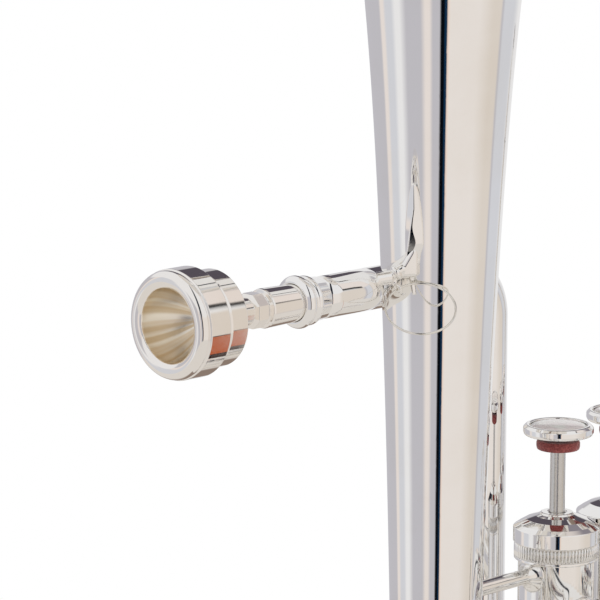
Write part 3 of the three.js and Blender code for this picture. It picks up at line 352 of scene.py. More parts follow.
@dataclass(frozen=True)
class StreakedReflection:
    """Satin metal whose colour carries painted reflection: streaks of two tones that run out from
    the mouthpiece's axis.
    """

    name: str
    light: Colour
    deep: Colour
    smooth: float
    dull: float
    height: float = 327.0
    streaks: float = 3.6
    edge: Span = (0.4, 0.6)

    def material(self) -> Material:
        """Builds the material.

        Returns:
            The material.
        """
        material, tree, shader = blank_material(self.name)
        apart = put(tree, "ShaderNodeSeparateXYZ", {0: here(tree)})
        middle = to_frame(spot(0.0, 0.0, self.height))
        offsets = [calc(tree, "SUBTRACT", apart.outputs[i], middle[i]) for i in (1, 2)]
        angle = calc(tree, "ARCTAN2", *offsets)
        streaks = {"W": angle, "Scale": self.streaks, "Detail": 1.0}
        noise = put(tree, "ShaderNodeTexNoise", streaks, noise_dimensions="1D")
        sharp = ranged(tree, noise.outputs[0], 0.0, 1.0, self.edge)
        # Painted reflection: the light and deep tones of the streaks stand in for the cup's mirrored
        # surroundings.
        colour = colour_mix(tree, sharp, self.light, self.deep)
        coated(tree, shader, colour, ranged(tree, sharp, self.smooth, self.dull), Metallic=1.0)
        bumped(tree, noise.outputs[0], shader, 0.0001, 0.5)
        return material


@dataclass(frozen=True)
class Shell:
    """Mother-of-pearl: drifting bands of cream, rose and green under a clear polish."""

    name: str = "mother of pearl"
    bands: Tuple[Tuple[float, Colour], ...] = (
        (0.3, (0.88, 0.85, 0.78)),
        (0.45, (0.93, 0.84, 0.83)),
        (0.58, (0.95, 0.94, 0.88)),
        (0.72, (0.8, 0.88, 0.83)),
        (1.0, (0.9, 0.86, 0.9)),
    )

    def material(self) -> Material:
        """Builds the material.

        Returns:
            The material.
        """
        material, tree, shader = blank_material(self.name)
        drift = {"Vector": here(tree), "Scale": 160.0, "Detail": 3.0, "Distortion": 1.6}
        share = put(tree, "ShaderNodeTexNoise", drift).outputs[0]
        colour = ramped(tree, share, self.bands)
        coated(tree, shader, colour, ranged(tree, share, 0.15, 0.3), Coat_Weight=0.8)
        bumped(tree, share, shader, 0.00005, 0.3)
        return material


@dataclass(frozen=True)
class Fibre:
    """Matted or grained soft stuff: felt or cork."""

    name: str
    low: Colour
    high: Colour
    scale: float
    grainy: bool

    def material(self) -> Material:
        """Builds the material.

        Returns:
            The material.
        """
        material, tree, shader = blank_material(self.name)
        cell_scale, sheen = (0.5, 0.0) if self.grainy else (1.5, 0.4)
        fine = {"Vector": here(tree), "Scale": self.scale, "Detail": 6.0, "Roughness": 0.7}
        noise = put(tree, "ShaderNodeTexNoise", fine)
        coarse = {"Vector": here(tree), "Scale": self.scale * cell_scale}
        cells = put(tree, "ShaderNodeTexVoronoi", coarse)
        both = calc(tree, "MULTIPLY", noise.outputs[0], cells.outputs[0])
        colour = colour_mix(tree, ranged(tree, both, 0.0, 2.2), self.low, self.high)
        coated(tree, shader, colour, ranged(tree, noise.outputs[0], 0.8, 1.0), Sheen_Weight=sheen)
        bumped(tree, both, shader, 0.0003, 0.8)
        return material


class Finishes:
    """Every finish of the horn."""

    OF_SLOT = {
        Slot.SILVER: Plate("silver plate", (0.95, 0.945, 0.93), (0.9, 0.88, 0.84), 0.03, 0.09),
        Slot.MOUTHPIECE: Plate(
            "mouthpiece plate", (0.95, 0.93, 0.9), (0.9, 0.86, 0.8), 0.035, 0.1, 0.00002
        ),
        Slot.WIRE: Plate(
            "bright wire", (0.85, 0.83, 0.78), (0.7, 0.66, 0.6), 0.12, 0.25, 0.00001, 500.0
        ),
        Slot.PISTON: Plate(
            "lapped alloy", (0.7, 0.69, 0.67), (0.6, 0.59, 0.56), 0.18, 0.32, 0.00001, 300.0
        ),
        Slot.SPRING: Plate(
            "spring steel", (0.55, 0.55, 0.56), (0.4, 0.39, 0.39), 0.25, 0.45, 0.00001, 400.0
        ),
        Slot.PEARL: Shell(),
        Slot.FELT: Fibre("red felt", (0.16, 0.02, 0.02), (0.42, 0.1, 0.09), 1400.0, False),
        Slot.CORK: Fibre("cork", (0.36, 0.2, 0.09), (0.72, 0.5, 0.28), 900.0, True),
    }
    CAST = Plate("cast silver", (0.94, 0.93, 0.91), (0.88, 0.86, 0.81), 0.05, 0.14, 0.00006, 160.0)
    # The satin cup's two-tone streaks are painted reflection in its base colour.
    SATIN_REFLECTION_STREAKS = StreakedReflection("satin cup", (1.0, 0.97, 0.9), (0.82, 0.69, 0.5), 0.28, 0.42)

    def __init__(self) -> None:
        """Builds the materials."""
        self.of_slot = {slot: finish.material() for slot, finish in self.OF_SLOT.items()}
        self.silver = self.of_slot[Slot.SILVER]
        self.cast = self.CAST.material()
        self.satin = self.SATIN_REFLECTION_STREAKS.material()


# Shapes


def spot(x: float, y: float, z: float) -> Vector:
    """A place of the layout as a vector, in millimetres."""
    return Vector((x, y, z))


def to_frame(place: Vector) -> Vector:
    """A place of the layout in the record's frame, in metres."""
    return (place + LAYOUT_SHIFT) * MM


def shade(code: str) -> Tuple[float, float, float]:
    """A colour as linear light, from its six-figure screen code."""
    screen = [int(code[i : i + 2], 16) / 255 for i in (0, 2, 4)]
    return tuple(v / 12.92 if v <= 0.04045 else ((v + 0.055) / 1.055) ** 2.4 for v in screen)


def facing(azimuth: float) -> Vector:
    """Horizontal unit vector that looks towards an azimuth in degrees, 0 towards -Y."""
    turn = math.radians(azimuth)
    return Vector((math.sin(turn), -math.cos(turn), 0.0))


def aside(azimuth: float, elevation: float) -> Vector:
    """Unit vector towards an azimuth and an elevation in degrees."""
    rise = math.radians(elevation)
    return facing(azimuth) * math.cos(rise) + UP * math.sin(rise)


class Run:
    """A run of straights and round bends through corners, with its frame at any distance."""

    def __init__(self, corners: Sequence[Vector], bend: float = 0.0, step: float = 2.5) -> None:
        """Lays the run.

        Args:
            corners: The places where its straights would meet, in millimetres.
            bend: The radius of every bend.
            step: Degrees between two places on a bend.
        """
        self.places: List[Vector] = [corners[0].copy()]
        self.headings: List[Vector] = [(corners[1] - corners[0]).normalized()]
        for before, corner, after in zip(corners, corners[1:], corners[2:]):
            inward, outward = (corner - before).normalized(), (after - corner).normalized()
            turn = inward.angle(outward)
            axis = inward.cross(outward).normalized()
            centre = corner + (outward - inward).normalized() * bend / math.cos(turn / 2)
            spoke = corner - inward * bend * math.tan(turn / 2) - centre
            count = max(2, round(math.degrees(turn) / step))
            for i in range(count + 1):
                swing = Quaternion(axis, turn * i / count)
                self.keep(centre + swing @ spoke, swing @ inward)
        self.keep(corners[-1], (corners[-1] - corners[-2]).normalized())
        self.lengths = [0.0]
        for a, b in zip(self.places, self.places[1:]):
            self.lengths.append(self.lengths[-1] + (b - a).length)
        first = self.headings[0]
        side = first.cross(UP) if abs(first.z) < 0.9 else Vector((1.0, 0.0, 0.0))
        self.sides = [side.normalized()]
        for a, b in zip(self.headings, self.headings[1:]):
            self.sides.append(a.rotation_difference(b) @ self.sides[-1])

    def keep(self, place: Vector, heading: Vector) -> None:
        """Adds a place unless the last one is already there.

        Args:
            place: The place.
            heading: The run's direction there.
        """
        if (place - self.places[-1]).length > 0.01:
            self.places.append(place.copy())
            self.headings.append(heading.normalized())

    @property
    def length(self) -> float:
        """The run's whole length."""
        return self.lengths[-1]

    def frame(self, distance: float) -> Tuple[Vector, Vector, Vector, Vector]:
        """The run's frame at a distance, straight on past its ends.

        Args:
            distance: The distance from the run's start.

        Returns:
            Place, heading, side and second side.
        """
        i = 0
        while i < len(self.lengths) - 2 and self.lengths[i + 1] < distance:
            i += 1
        share = (distance - self.lengths[i]) / (self.lengths[i + 1] - self.lengths[i])
        place = self.places[i].lerp(self.places[i + 1], share)
        inside = min(max(share, 0.0), 1.0)
        heading = self.headings[i].lerp(self.headings[i + 1], inside).normalized()
        side = self.sides[i].lerp(self.sides[i + 1], inside).normalized()
        return place, heading, side, heading.cross(side)

    def with_bends(self, profile: Profile) -> Profile:
        """A closed profile with the run's own places put in between its points.

        Args:
            profile: Closed list of (distance, radius).

        Returns:
            The denser profile.
        """
        dense: Profile = []
        for (s0, r0), (s1, r1) in zip(profile, profile[1:] + profile[:1]):
            dense.append((s0, r0))
            between = [s for s in self.lengths[1:-1] if min(s0, s1) + 0.05 < s < max(s0, s1) - 0.05]
            for s in sorted(between, reverse=s1 < s0):
                dense.append((s, r0 + (r1 - r0) * (s - s0) / (s1 - s0)))
        return dense


def rounded(profile: Profile, radius: float, steps: int = 4, closed: bool = True) -> Profile:
    """A profile with its corners rounded and held by support points.

    Args:
        profile: The corners.
        radius: The rounding, less on short sides.
        steps: Divisions of each rounding.
        closed: Whether the last corner joins the first.

    Returns:
        The finer profile.
    """
    count = len(profile)
    result: Profile = []
    for i, corner in enumerate(profile):
        if not closed and i in (0, count - 1):
            result.append(corner)
            continue
        here = Vector(corner)
        back = Vector(profile[i - 1]) - here
        ahead = Vector(profile[(i + 1) % count]) - here
        opening = back.angle(ahead) if min(back.length, ahead.length) > 1e-6 else math.pi
        if opening > math.radians(176):
            result.append(corner)
            continue
        reach = min(radius / math.tan(opening / 2), back.length * 0.35, ahead.length * 0.35)
        true = reach * math.tan(opening / 2)
        inwards = (back.normalized() + ahead.normalized()).normalized()
        hub = here + inwards * true / math.sin(opening / 2)
        start, end = here + back.normalized() * reach, here + ahead.normalized() * reach
        result.append(tuple(start + back.normalized() * reach * 0.4))
        for j in range(steps + 1):
            spoke = (start - hub).lerp(end - hub, j / steps)
            result.append(tuple(hub + spoke.normalized() * true))
        result.append(tuple(end + ahead.normalized() * reach * 0.4))
    return result


def placed(name: str, data: bpy.types.ID) -> Piece:
    """A new object in the scene, untransformed.

    Args:
        name: The object's name.
        data: What the object shows.

    Returns:
        The object.
    """
    piece = bpy.data.objects.new(name, data)
    bpy.context.scene.collection.objects.link(piece)
    return piece


def mesh_piece(name: str, places: Sequence[Vector], faces: Sequence[Sequence[int]]) -> Piece:
    """A closed mesh with outward normals and smooth shading.

    Args:
        name: The object's name.
        places: Corners in the layout, in millimetres.
        faces: Corner lists.

    Returns:
        The new object.
    """
    mesh = bpy.data.meshes.new(name)
    mesh.from_pydata([to_frame(p) for p in places], [], [list(f) for f in faces])
    work = bmesh.new()
    work.from_mesh(mesh)
    bmesh.ops.recalc_face_normals(work, faces=work.faces)
    work.to_mesh(mesh)
    work.free()
    mesh.shade_smooth()
    return placed(name, mesh)


def round_piece(
    name: str,
    run: Run,
    profile: Profile,
    sides: Sides = Sides.TUBE,
    start_on: float = 0.0,
    end_on: float = 0.0,
) -> Piece:
    """A piece with a round section along a run.

    Args:
        name: The object's name.
        run: The run that it follows.
        profile: Closed list of (distance, radius); it may start and end on the run itself.
        sides: How finely it is divided.
        start_on: Radius of an upright tube on whose surface it starts; the run starts on its axis.
        end_on: The same at the run's end.

    Returns:
        The new object.
    """
    open_ends = profile[0][1] < 1e-6 and profile[-1][1] < 1e-6
    dense = run.with_bends(profile)
    places: List[Vector] = []
    rings: List[List[int]] = []
    for distance, radius in dense:
        place, heading, side, over = run.frame(distance)
        if radius < 1e-6:
            rings.append([len(places)])
            places.append(place)
            continue
        ring = []
        for j in range(sides.value):
            turn = 2 * math.pi * j / sides.value
            spoke = (side * math.cos(turn) + over * math.sin(turn)) * radius
            across = spoke.dot(heading.cross(UP)) if start_on or end_on else 0.0
            along = distance
            if start_on:
                along = max(along, math.sqrt(max(start_on**2 - across**2, 0.0)))
            if end_on:
                along = min(along, run.length - math.sqrt(max(end_on**2 - across**2, 0.0)))
            ring.append(len(places))
            places.append(place + heading * (along - distance) + spoke)
        rings.append(ring)
    faces: List[Sequence[int]] = []
    pairs = list(zip(rings, rings[1:])) + ([] if open_ends else [(rings[-1], rings[0])])
    for a, b in pairs:
        for j in range(max(len(a), len(b))):
            k = (j + 1) % max(len(a), len(b))
            if len(a) == 1:
                faces.append((a[0], b[j], b[k]))
            elif len(b) == 1:
                faces.append((a[j], b[0], a[k]))
            else:
                faces.append((a[j], b[j], b[k], a[k]))
    return mesh_piece(name, places, faces)


def bar(name: str, start: Vector, end: Vector, radius: float, edge: float = 0.3) -> Piece:
    """A solid round bar with rounded edges.

    Args:
        name: The object's name.
        start: Where it starts.
        end: Where it ends.
        radius: Its radius.
        edge: The rounding of its edges.

    Returns:
        The object.
    """
    run = Run([start, end])
    outline = [(0.0, 0.0), (0.0, radius), (run.length, radius), (run.length, 0.0)]
    return round_piece(name, run, rounded(outline, edge, closed=False), Sides.SMALL)


def block(name: str, centre: Vector, size: Tuple[float, float, float]) -> Piece:
    """A plain block, to be joined into a casting.

    Args:
        name: The object's name.
        centre: Its centre.
        size: Its sizes along X, Y and Z.

    Returns:
        The object.
    """
    corners = [
        centre + Vector((sx * size[0], sy * size[1], sz * size[2])) / 2
        for sx in (-1, 1)
        for sy in (-1, 1)
        for sz in (-1, 1)
    ]
    faces = [(0, 1, 3, 2), (4, 6, 7, 5), (0, 4, 5, 1), (2, 3, 7, 6), (0, 2, 6, 4), (1, 5, 7, 3)]
    return mesh_piece(name, corners, faces)


def hull(name: str, centres: Sequence[Vector], radius: float) -> Piece:
    """The skin stretched round several balls, to be joined into a casting.

    Args:
        name: The object's name.
        centres: The balls' centres.
        radius: The balls' radius in millimetres.

    Returns:
        The new object.
    """
    work = bmesh.new()
    for centre in centres:
        stand = Matrix.Translation(to_frame(centre))
        bmesh.ops.create_icosphere(work, subdivisions=2, radius=radius * MM, matrix=stand)
    bmesh.ops.convex_hull(work, input=work.verts)
    bmesh.ops.delete(work, geom=[v for v in work.verts if not v.link_faces], context="VERTS")
    bmesh.ops.recalc_face_normals(work, faces=work.faces)
    mesh = bpy.data.meshes.new(name)
    work.to_mesh(mesh)
    work.free()
    return placed(name, mesh)


def ring(
    name: str,
    centre: Vector,
    across: Vector,
    over: Vector,
    radius: float,
    wire_radius: float,
    sides: int = 20,
) -> Piece:
    """A round ring of round wire in the plane of two vectors.

    Args:
        name: The object's name.
        centre: Its centre.
        across: One unit vector of its plane.
        over: The other unit vector of its plane.
        radius: Its radius.
        wire_radius: The wire's radius.
        sides: How many sides the wire has.

    Returns:
        The object.
    """
    rows = Sides.FINE.value
    places, faces = [], []
    normal = across.cross(over)
    for i in range(rows):
        turn = 2 * math.pi * i / rows
        spoke = across * math.cos(turn) + over * math.sin(turn)
        for j in range(sides):
            roll = 2 * math.pi * j / sides
            out = spoke * (radius + wire_radius * math.cos(roll))
            places.append(centre + out + normal * wire_radius * math.sin(roll))
            a, b = i * sides + j, i * sides + (j + 1) % sides
            c, d = (a + sides) % (rows * sides), (b + sides) % (rows * sides)
            faces.append((a, b, d, c))
    return mesh_piece(name, places, faces)


def fixed_mesh(piece: Piece) -> Piece:
    """The same piece with its modifiers' result as a plain mesh and no modifier left.

    Args:
        piece: The object with its modifiers.

    Returns:
        The object.
    """
    graph = bpy.context.evaluated_depsgraph_get()
    mesh = bpy.data.meshes.new_from_object(piece.evaluated_get(graph), depsgraph=graph)
    piece.modifiers.clear()
    piece.data = mesh
    return piece


def joined(name: str, pieces: Sequence[Piece]) -> Piece:
    """Several meshes as one object.

    Args:
        name: The object's name.
        pieces: The objects, which are used up.

    Returns:
        The object.
    """
    work = bmesh.new()
    for piece in pieces:
        work.from_mesh(piece.data)
    mesh = bpy.data.meshes.new(name)
    work.to_mesh(mesh)
    work.free()
    for piece in pieces:
        bpy.data.objects.remove(piece)
    return placed(name, mesh)


def casting(name: str, pieces: Sequence[Piece], grain: float, softness: int) -> Piece:
    """Overlapping pieces melted into one casting with soft inner corners.

    Args:
        name: The object's name.
        pieces: The pieces to melt together.
        grain: The casting's finest detail in millimetres.
        softness: Rounds of smoothing.

    Returns:
        The new object.
    """
    whole = joined(name, pieces)
    melt = whole.modifiers.new("melt", "REMESH")
    melt.mode = "VOXEL"
    melt.voxel_size = grain * MM
    ease = whole.modifiers.new("ease", "SMOOTH")
    ease.factor = 0.6
    ease.iterations = softness
    fixed_mesh(whole)
    whole.data.shade_smooth()
    return whole


def sharp_shaded(piece: Piece) -> Piece:
    """The same piece, shaded smooth with its flat faces kept flat.

    Args:
        piece: The object.

    Returns:
        The object.
    """
    piece.data.shade_smooth()
    hold = piece.modifiers.new("edges", "WEIGHTED_NORMAL")
    hold.keep_sharp = True
    return piece


def drilled(piece: Piece, holes: Sequence[Tuple[Vector, Vector]], radius: float) -> Piece:
    """The same piece with round holes along the given lines.

    Args:
        piece: The object.
        holes: Start and end of each hole.
        radius: The holes' radius.

    Returns:
        The object.
    """
    for start, end in holes:
        drill = bar("drill", start, end, radius, 0.01)
        hole = piece.modifiers.new("hole", "BOOLEAN")
        hole.operation = "DIFFERENCE"
        hole.object = drill
        fixed_mesh(piece)
        bpy.data.objects.remove(drill)
    return sharp_shaded(piece)


# Geometry node trees


class Tree:
    """A geometry node tree with named inputs for its sizes."""

    def __init__(self, name: str, inputs: Dict[str, float], material: Material) -> None:
        """Starts the tree.

        Args:
            name: The tree's name.
            inputs: Named sizes; a whole number makes a count.
            material: What the result is made of.
        """
        self.tree = bpy.data.node_groups.new(name, "GeometryNodeTree")
        self.material = material
        face = self.tree.interface
        face.new_socket("Geometry", in_out="INPUT", socket_type="NodeSocketGeometry")
        for key, value in inputs.items():
            kind = "NodeSocketInt" if isinstance(value, int) else "NodeSocketFloat"
            face.new_socket(key, in_out="INPUT", socket_type=kind).default_value = value
        face.new_socket("Geometry", in_out="OUTPUT", socket_type="NodeSocketGeometry")
        self.start = self.tree.nodes.new("NodeGroupInput")
        self.end = self.tree.nodes.new("NodeGroupOutput")

    def add(self, kind: str, links: Optional[Links] = None, **values: object) -> Socket:
        """Adds a node to the tree and gives its first output."""
        return put(self.tree, kind, links, **values).outputs[0]

    def calc(self, operation: str, *terms: object) -> Socket:
        """The result of a math node on numbers or sockets."""
        return calc(self.tree, operation, *terms)

    def close(self, geometry: Socket) -> None:
        """Ends the tree in Realize Instances, smooth shading and Set Material.

        Args:
            geometry: What the tree has made.
        """
        real = self.add("GeometryNodeRealizeInstances", {0: geometry})
        smooth = self.add("GeometryNodeSetShadeSmooth", {0: real})
        dressed = self.add("GeometryNodeSetMaterial", {0: smooth}, Material=self.material)
        wire(self.tree, dressed, self.end.inputs[0])

    def apply(self, piece: Piece, **values: float) -> Piece:
        """Runs the tree on a piece and leaves a plain mesh.

        Args:
            piece: The object whose mesh goes in.
            values: New values for named inputs, with an underscore for a blank.

        Returns:
            The same object with its new mesh.
        """
        modifier = piece.modifiers.new(self.tree.name, "NODES")
        modifier.node_group = self.tree
        wanted = {key.replace("_", " "): value for key, value in values.items()}
        for item in self.tree.interface.items_tree:
            if item.in_out == "INPUT" and item.name in wanted:
                modifier[item.identifier] = wanted[item.name]
        return fixed_mesh(piece)


class KnurlTree(Tree):
    """Upright ridges round a cap or a screw's head."""

    SIZES = {
        "Ridges": 60,
        "Radius": 0.011,
        "Height": 0.003,
        "Width": 0.0008,
        "Base": 0.0,
        "Centre X": 0.0,
        "Centre Y": 0.0,
    }

    def __init__(self, material: Material) -> None:
        """Builds the tree: a four-sided ridge at every point of a circle round +Z.

        Args:
            material: What the result is made of.
        """
        super().__init__("Knurling", self.SIZES, material)
        given = self.start.outputs
        links = {"Vertices": given["Ridges"], "Radius": given["Radius"]}
        circle = self.add("GeometryNodeMeshCircle", links)
        links = {"Radius": given["Width"], "Depth": given["Height"]}
        ridge = self.add("GeometryNodeMeshCylinder", links, Vertices=4)
        share = self.calc("DIVIDE", self.add("GeometryNodeInputIndex"), given["Ridges"])
        spin = self.add("ShaderNodeCombineXYZ", {2: self.calc("MULTIPLY", share, 2 * math.pi)})
        links = {"Points": circle, "Instance": ridge, "Rotation": spin}
        row = self.add("GeometryNodeInstanceOnPoints", links)
        links = {0: given["Centre X"], 1: given["Centre Y"], 2: given["Base"]}
        centre = self.add("ShaderNodeCombineXYZ", links)
        moved = self.add("GeometryNodeTransform", {"Geometry": row, "Translation": centre})
        whole = put(self.tree, "GeometryNodeJoinGeometry", {0: moved})
        wire(self.tree, given["Geometry"], whole.inputs[0])
        self.close(whole.outputs[0])


class FlareTree(Tree):
    """The bell: its radius is a power of the depth below the rim."""

    SIZES = {
        "Sides": 64,
        "Rows": 64,
        "Reach": 0.01,
        "Length": 0.4,
        "Edge": 0.001,
        "Throat depth": 0.2,
        "Throat radius": 0.015,
        "Power": 0.5,
        "Axis X": 0.0,
        "Rim Z": 0.0,
    }

    def __init__(self, material: Material) -> None:
        """Builds the tree: a sheet of angle against depth is bent into the flare.

        Args:
            material: What the result is made of.
        """
        super().__init__("Bell flare", self.SIZES, material)
        given, term = self.start.outputs, self.calc
        links = {"Vertices X": term("ADD", given["Sides"], 1), "Vertices Y": given["Rows"]}
        sheet = self.add("GeometryNodeMeshGrid", links, Size_X=1.0, Size_Y=1.0)
        place = put(self.tree, "ShaderNodeSeparateXYZ", {0: self.add("GeometryNodeInputPosition")})
        angle = term("MULTIPLY", term("ADD", place.outputs[0], 0.5), 2 * math.pi)
        share = term("ADD", place.outputs[1], 0.5)
        low = term("ADD", given["Reach"], given["Length"])
        high = term("ADD", given["Reach"], given["Edge"])
        reach = term("MULTIPLY", low, term("POWER", term("DIVIDE", high, low), share))
        throat = term("ADD", given["Throat depth"], given["Reach"])
        grown = term("POWER", term("DIVIDE", throat, reach), given["Power"])
        radius = term("MULTIPLY", given["Throat radius"], grown)
        depth = term("SUBTRACT", reach, given["Reach"])
        links = {
            0: term("ADD", term("MULTIPLY", radius, term("COSINE", angle)), given["Axis X"]),
            1: term("MULTIPLY", radius, term("SINE", angle)),
            2: term("SUBTRACT", given["Rim Z"], depth),
        }
        bent = self.add("ShaderNodeCombineXYZ", links)
        flare = self.add("GeometryNodeSetPosition", {"Geometry": sheet, "Position": bent})
        self.close(self.add("GeometryNodeMergeByDistance", {"Geometry": flare}, Distance=0.000005))


# The horn's sub-assemblies


@dataclass
class Workshop:
    """What every sub-assembly needs: the finishes and the shared trees."""

    finishes: Finishes
    knurl: KnurlTree
    count: int = 0

    def hand_over(self, piece: Piece, body: str, slot: Slot, *nodes: str) -> None:
        """Dresses a piece that is still bare, lets it ride and hides the CAD nodes that it replaces.

        Args:
            piece: The finished object.
            body: The body that it rides on.
            slot: The record's slot, whose finish a bare piece gets.
            nodes: The CAD nodes that it replaces.
        """
        if not piece.data.materials:
            piece.data.materials.append(self.finishes.of_slot[slot])
        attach(piece, body)
        if nodes:
            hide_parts(*nodes)
        self.count += 1
        log.info("%s: %d faces on %s", piece.name, len(piece.data.polygons), body)

    def silver(self, piece: Piece, body: str, *nodes: str) -> None:
        """Hands over a piece of polished silver plate."""
        self.hand_over(piece, body, Slot.SILVER, *nodes)

    def cast(self, piece: Piece, body: str, *nodes: str) -> None:
        """Hands over a silver-plated casting.

        Args:
            piece: The casting.
            body: The body that it rides on.
            nodes: The CAD nodes that it replaces.
        """
        if not piece.data.materials:
            piece.data.materials.append(self.finishes.cast)
        self.hand_over(piece, body, Slot.SILVER, *nodes)


@dataclass
class Assembly:
    """A group of pieces that are made in the workshop."""

    shop: Workshop


@dataclass
class BellAndBow(Assembly):
    """Bell, bottom bow with guard, ferrules and the tapered outer branch."""

    height: float = 505.0
    rim_radius: float = 101.5
    throat_radius: float = 14.7
    throat_depth: float = 178.0
    reach: float = 7.0
    wall: float = 0.8
    bead: float = 2.0
    span: float = 178.0
    bottom_radius: float = 8.9
    outer_radius: float = 7.9
    tail: float = 10.0
    ferrule_length: float = 16.0
    socket_top: float = 335.0
    socket_radius: float = 7.1
    socket_bore: float = 6.2
    collar: float = 0.7
    collar_length: float = 4.0
    gap: float = 0.3
    sheet_edge: float = 0.6
    guard_reach: float = 33.75
    guard_wrap: float = 52.0
    guard_thickness: float = 1.0
    guard_gap: float = 0.25

    @property
    def power(self) -> float:
        """The flare's power."""
        wide = self.rim_radius / self.throat_radius
        return math.log(wide) / math.log((self.throat_depth + self.reach) / self.reach)

    @property
    def bow_end(self) -> float:
        """Height of the bow's two ends."""
        return self.tail + self.span / 2 + self.bottom_radius

    def radius_at(self, z: float) -> float:
        """The bell's outer radius at a height."""
        depth = self.height - z + self.reach
        return self.throat_radius * ((self.throat_depth + self.reach) / depth) ** self.power

    def bow_radius(self, share: float) -> float:
        """The bow's outer radius at a share of its length from the bell.

        Args:
            share: The share of the bow's length.

        Returns:
            The radius.
        """
        first = self.radius_at(self.bow_end)
        if share < 0.5:
            return first + (self.bottom_radius - first) * share * 2
        return self.bottom_radius + (self.outer_radius - self.bottom_radius) * (share * 2 - 1)

    def build(self) -> None:
        """Makes the pieces."""
        self.bell()
        self.bow()
        self.branch()
        for name, x, radius in (
            ("bell_ferrule", 0.0, self.radius_at(self.bow_end + self.ferrule_length / 2)),
            ("outer_ferrule", self.span, self.outer_radius),
        ):
            self.shop.silver(self.ferrule(name + "_sleeve", x, radius), "horn", name)

    def bell(self) -> None:
        """The flare with its rolled rim."""
        tree = FlareTree(self.shop.finishes.silver)
        flare = tree.apply(
            mesh_piece("bell_flare", [], []),
            Sides=192,
            Rows=260,
            Reach=self.reach * MM,
            Length=(self.height - self.bow_end - self.gap) * MM,
            Edge=self.sheet_edge * MM,
            Throat_depth=self.throat_depth * MM,
            Throat_radius=self.throat_radius * MM,
            Power=self.power,
            Axis_X=LAYOUT_SHIFT.x * MM,
            Rim_Z=(self.height + LAYOUT_SHIFT.z) * MM,
        )
        self.turn_outwards(flare)
        wall = flare.modifiers.new("wall", "SOLIDIFY")
        wall.thickness = self.wall * MM
        wall.offset = -1.0
        fixed_mesh(flare)
        flare.data.shade_smooth()
        centre, radius = spot(0, 0, self.height - self.bead), self.rim_radius - self.bead
        bead = ring("bead", centre, spot(1, 0, 0), spot(0, 1, 0), radius, self.bead)
        whole = joined("bell_body", [flare, bead])
        whole.data.shade_smooth()
        whole.data.materials.append(self.shop.finishes.silver)
        self.shop.silver(whole, "horn", "bell")

    def turn_outwards(self, flare: Piece) -> None:
        """Turns the flare's faces away from the bell's axis.

        Args:
            flare: The flare's object.
        """
        work = bmesh.new()
        work.from_mesh(flare.data)
        bmesh.ops.recalc_face_normals(work, faces=work.faces)
        outwards = 0.0
        for face in work.faces:
            middle = face.calc_center_median()
            outwards += face.normal.dot(middle - Vector((LAYOUT_SHIFT.x * MM, 0, middle.z)))
        if outwards < 0:
            bmesh.ops.reverse_faces(work, faces=work.faces)
        work.to_mesh(flare.data)
        work.free()

    def bow_run(self) -> Run:
        """The bow's centre line.

        Returns:
            The run.
        """
        low, high, span = self.bottom_radius, self.bow_end, self.span
        corners = [spot(0, 0, high), spot(0, 0, low), spot(span, 0, low), spot(span, 0, high)]
        return Run(corners, span / 2, 1.5)

    def bow(self) -> None:
        """The tapered bow and the guard along its outside."""
        run = self.bow_run()
        outer = [(run.length * i / 90, self.bow_radius(i / 90)) for i in range(91)]
        inner = [(s, r - self.wall) for s, r in reversed(outer)]
        self.shop.silver(round_piece("bow_tube", run, outer + inner), "horn", "bottom_bow")
        self.shop.silver(self.guard(), "horn", "bow_guard")

    def guard(self) -> Piece:
        """A thin strip with rounded edges that follows the bow's outside.

        Returns:
            The strip.
        """
        rows, columns, half = 72, 28, self.guard_thickness / 2
        places, faces = [], []
        for i in range(rows + 1):
            side = i / rows * 2 - 1
            turn = math.radians(side * self.guard_reach)
            outwards = spot(math.sin(turn), 0, -math.cos(turn))
            centre = spot(self.span / 2, 0, self.bow_end - self.tail) + outwards * self.span / 2
            share = 0.5 + side * self.guard_reach / 180
            tip = math.sqrt(max(1 - max(abs(side) - 0.94, 0) ** 2 / 0.0045, 0.02))
            wrap = self.guard_wrap * (1 - 0.3 * abs(side) ** 2.5) * tip
            thickest = max(self.bow_radius(max(share, 1 - share)), self.bow_radius(share))
            inside = thickest + self.guard_gap
            for j in range(columns):
                roll = 2 * math.pi * j / columns
                lean = math.radians(wrap * math.cos(roll))
                soft = abs(math.sin(roll)) ** 0.35
                radius = inside + half + half * soft * (1 if math.sin(roll) >= 0 else -1)
                spoke = outwards * math.cos(lean) + spot(0, 1, 0) * math.sin(lean)
                places.append(centre + spoke * radius)
                if i < rows:
                    a, b = i * columns + j, i * columns + (j + 1) % columns
                    faces.append((a, b, b + columns, a + columns))
        faces.append(tuple(range(columns)))
        faces.append(tuple(range(rows * columns, (rows + 1) * columns)))
        return mesh_piece("guard_strip", places, faces)

    def ferrule(self, name: str, x: float, radius: float) -> Piece:
        """A beaded sleeve over a joint of two tubes.

        Args:
            name: The object's name.
            x: Its place along X.
            radius: The radius of the tubes in it.

        Returns:
            The object.
        """
        inside, half, bead = radius + self.gap, self.ferrule_length / 2, 0.7
        outside = inside + 1.1
        outline = [
            (-half, inside),
            (-half, outside + bead * 0.6),
            (-half + 0.5, outside + bead),
            (-half + 1.5, outside + bead),
            (-half + 2.1, outside),
            (half - 2.1, outside),
            (half - 1.5, outside + bead),
            (half - 0.5, outside + bead),
            (half, outside + bead * 0.6),
            (half, inside),
        ]
        run = Run([spot(x, 0, self.bow_end), spot(x, 0, self.bow_end + 1)])
        return round_piece(name, run, rounded(outline, 0.5))

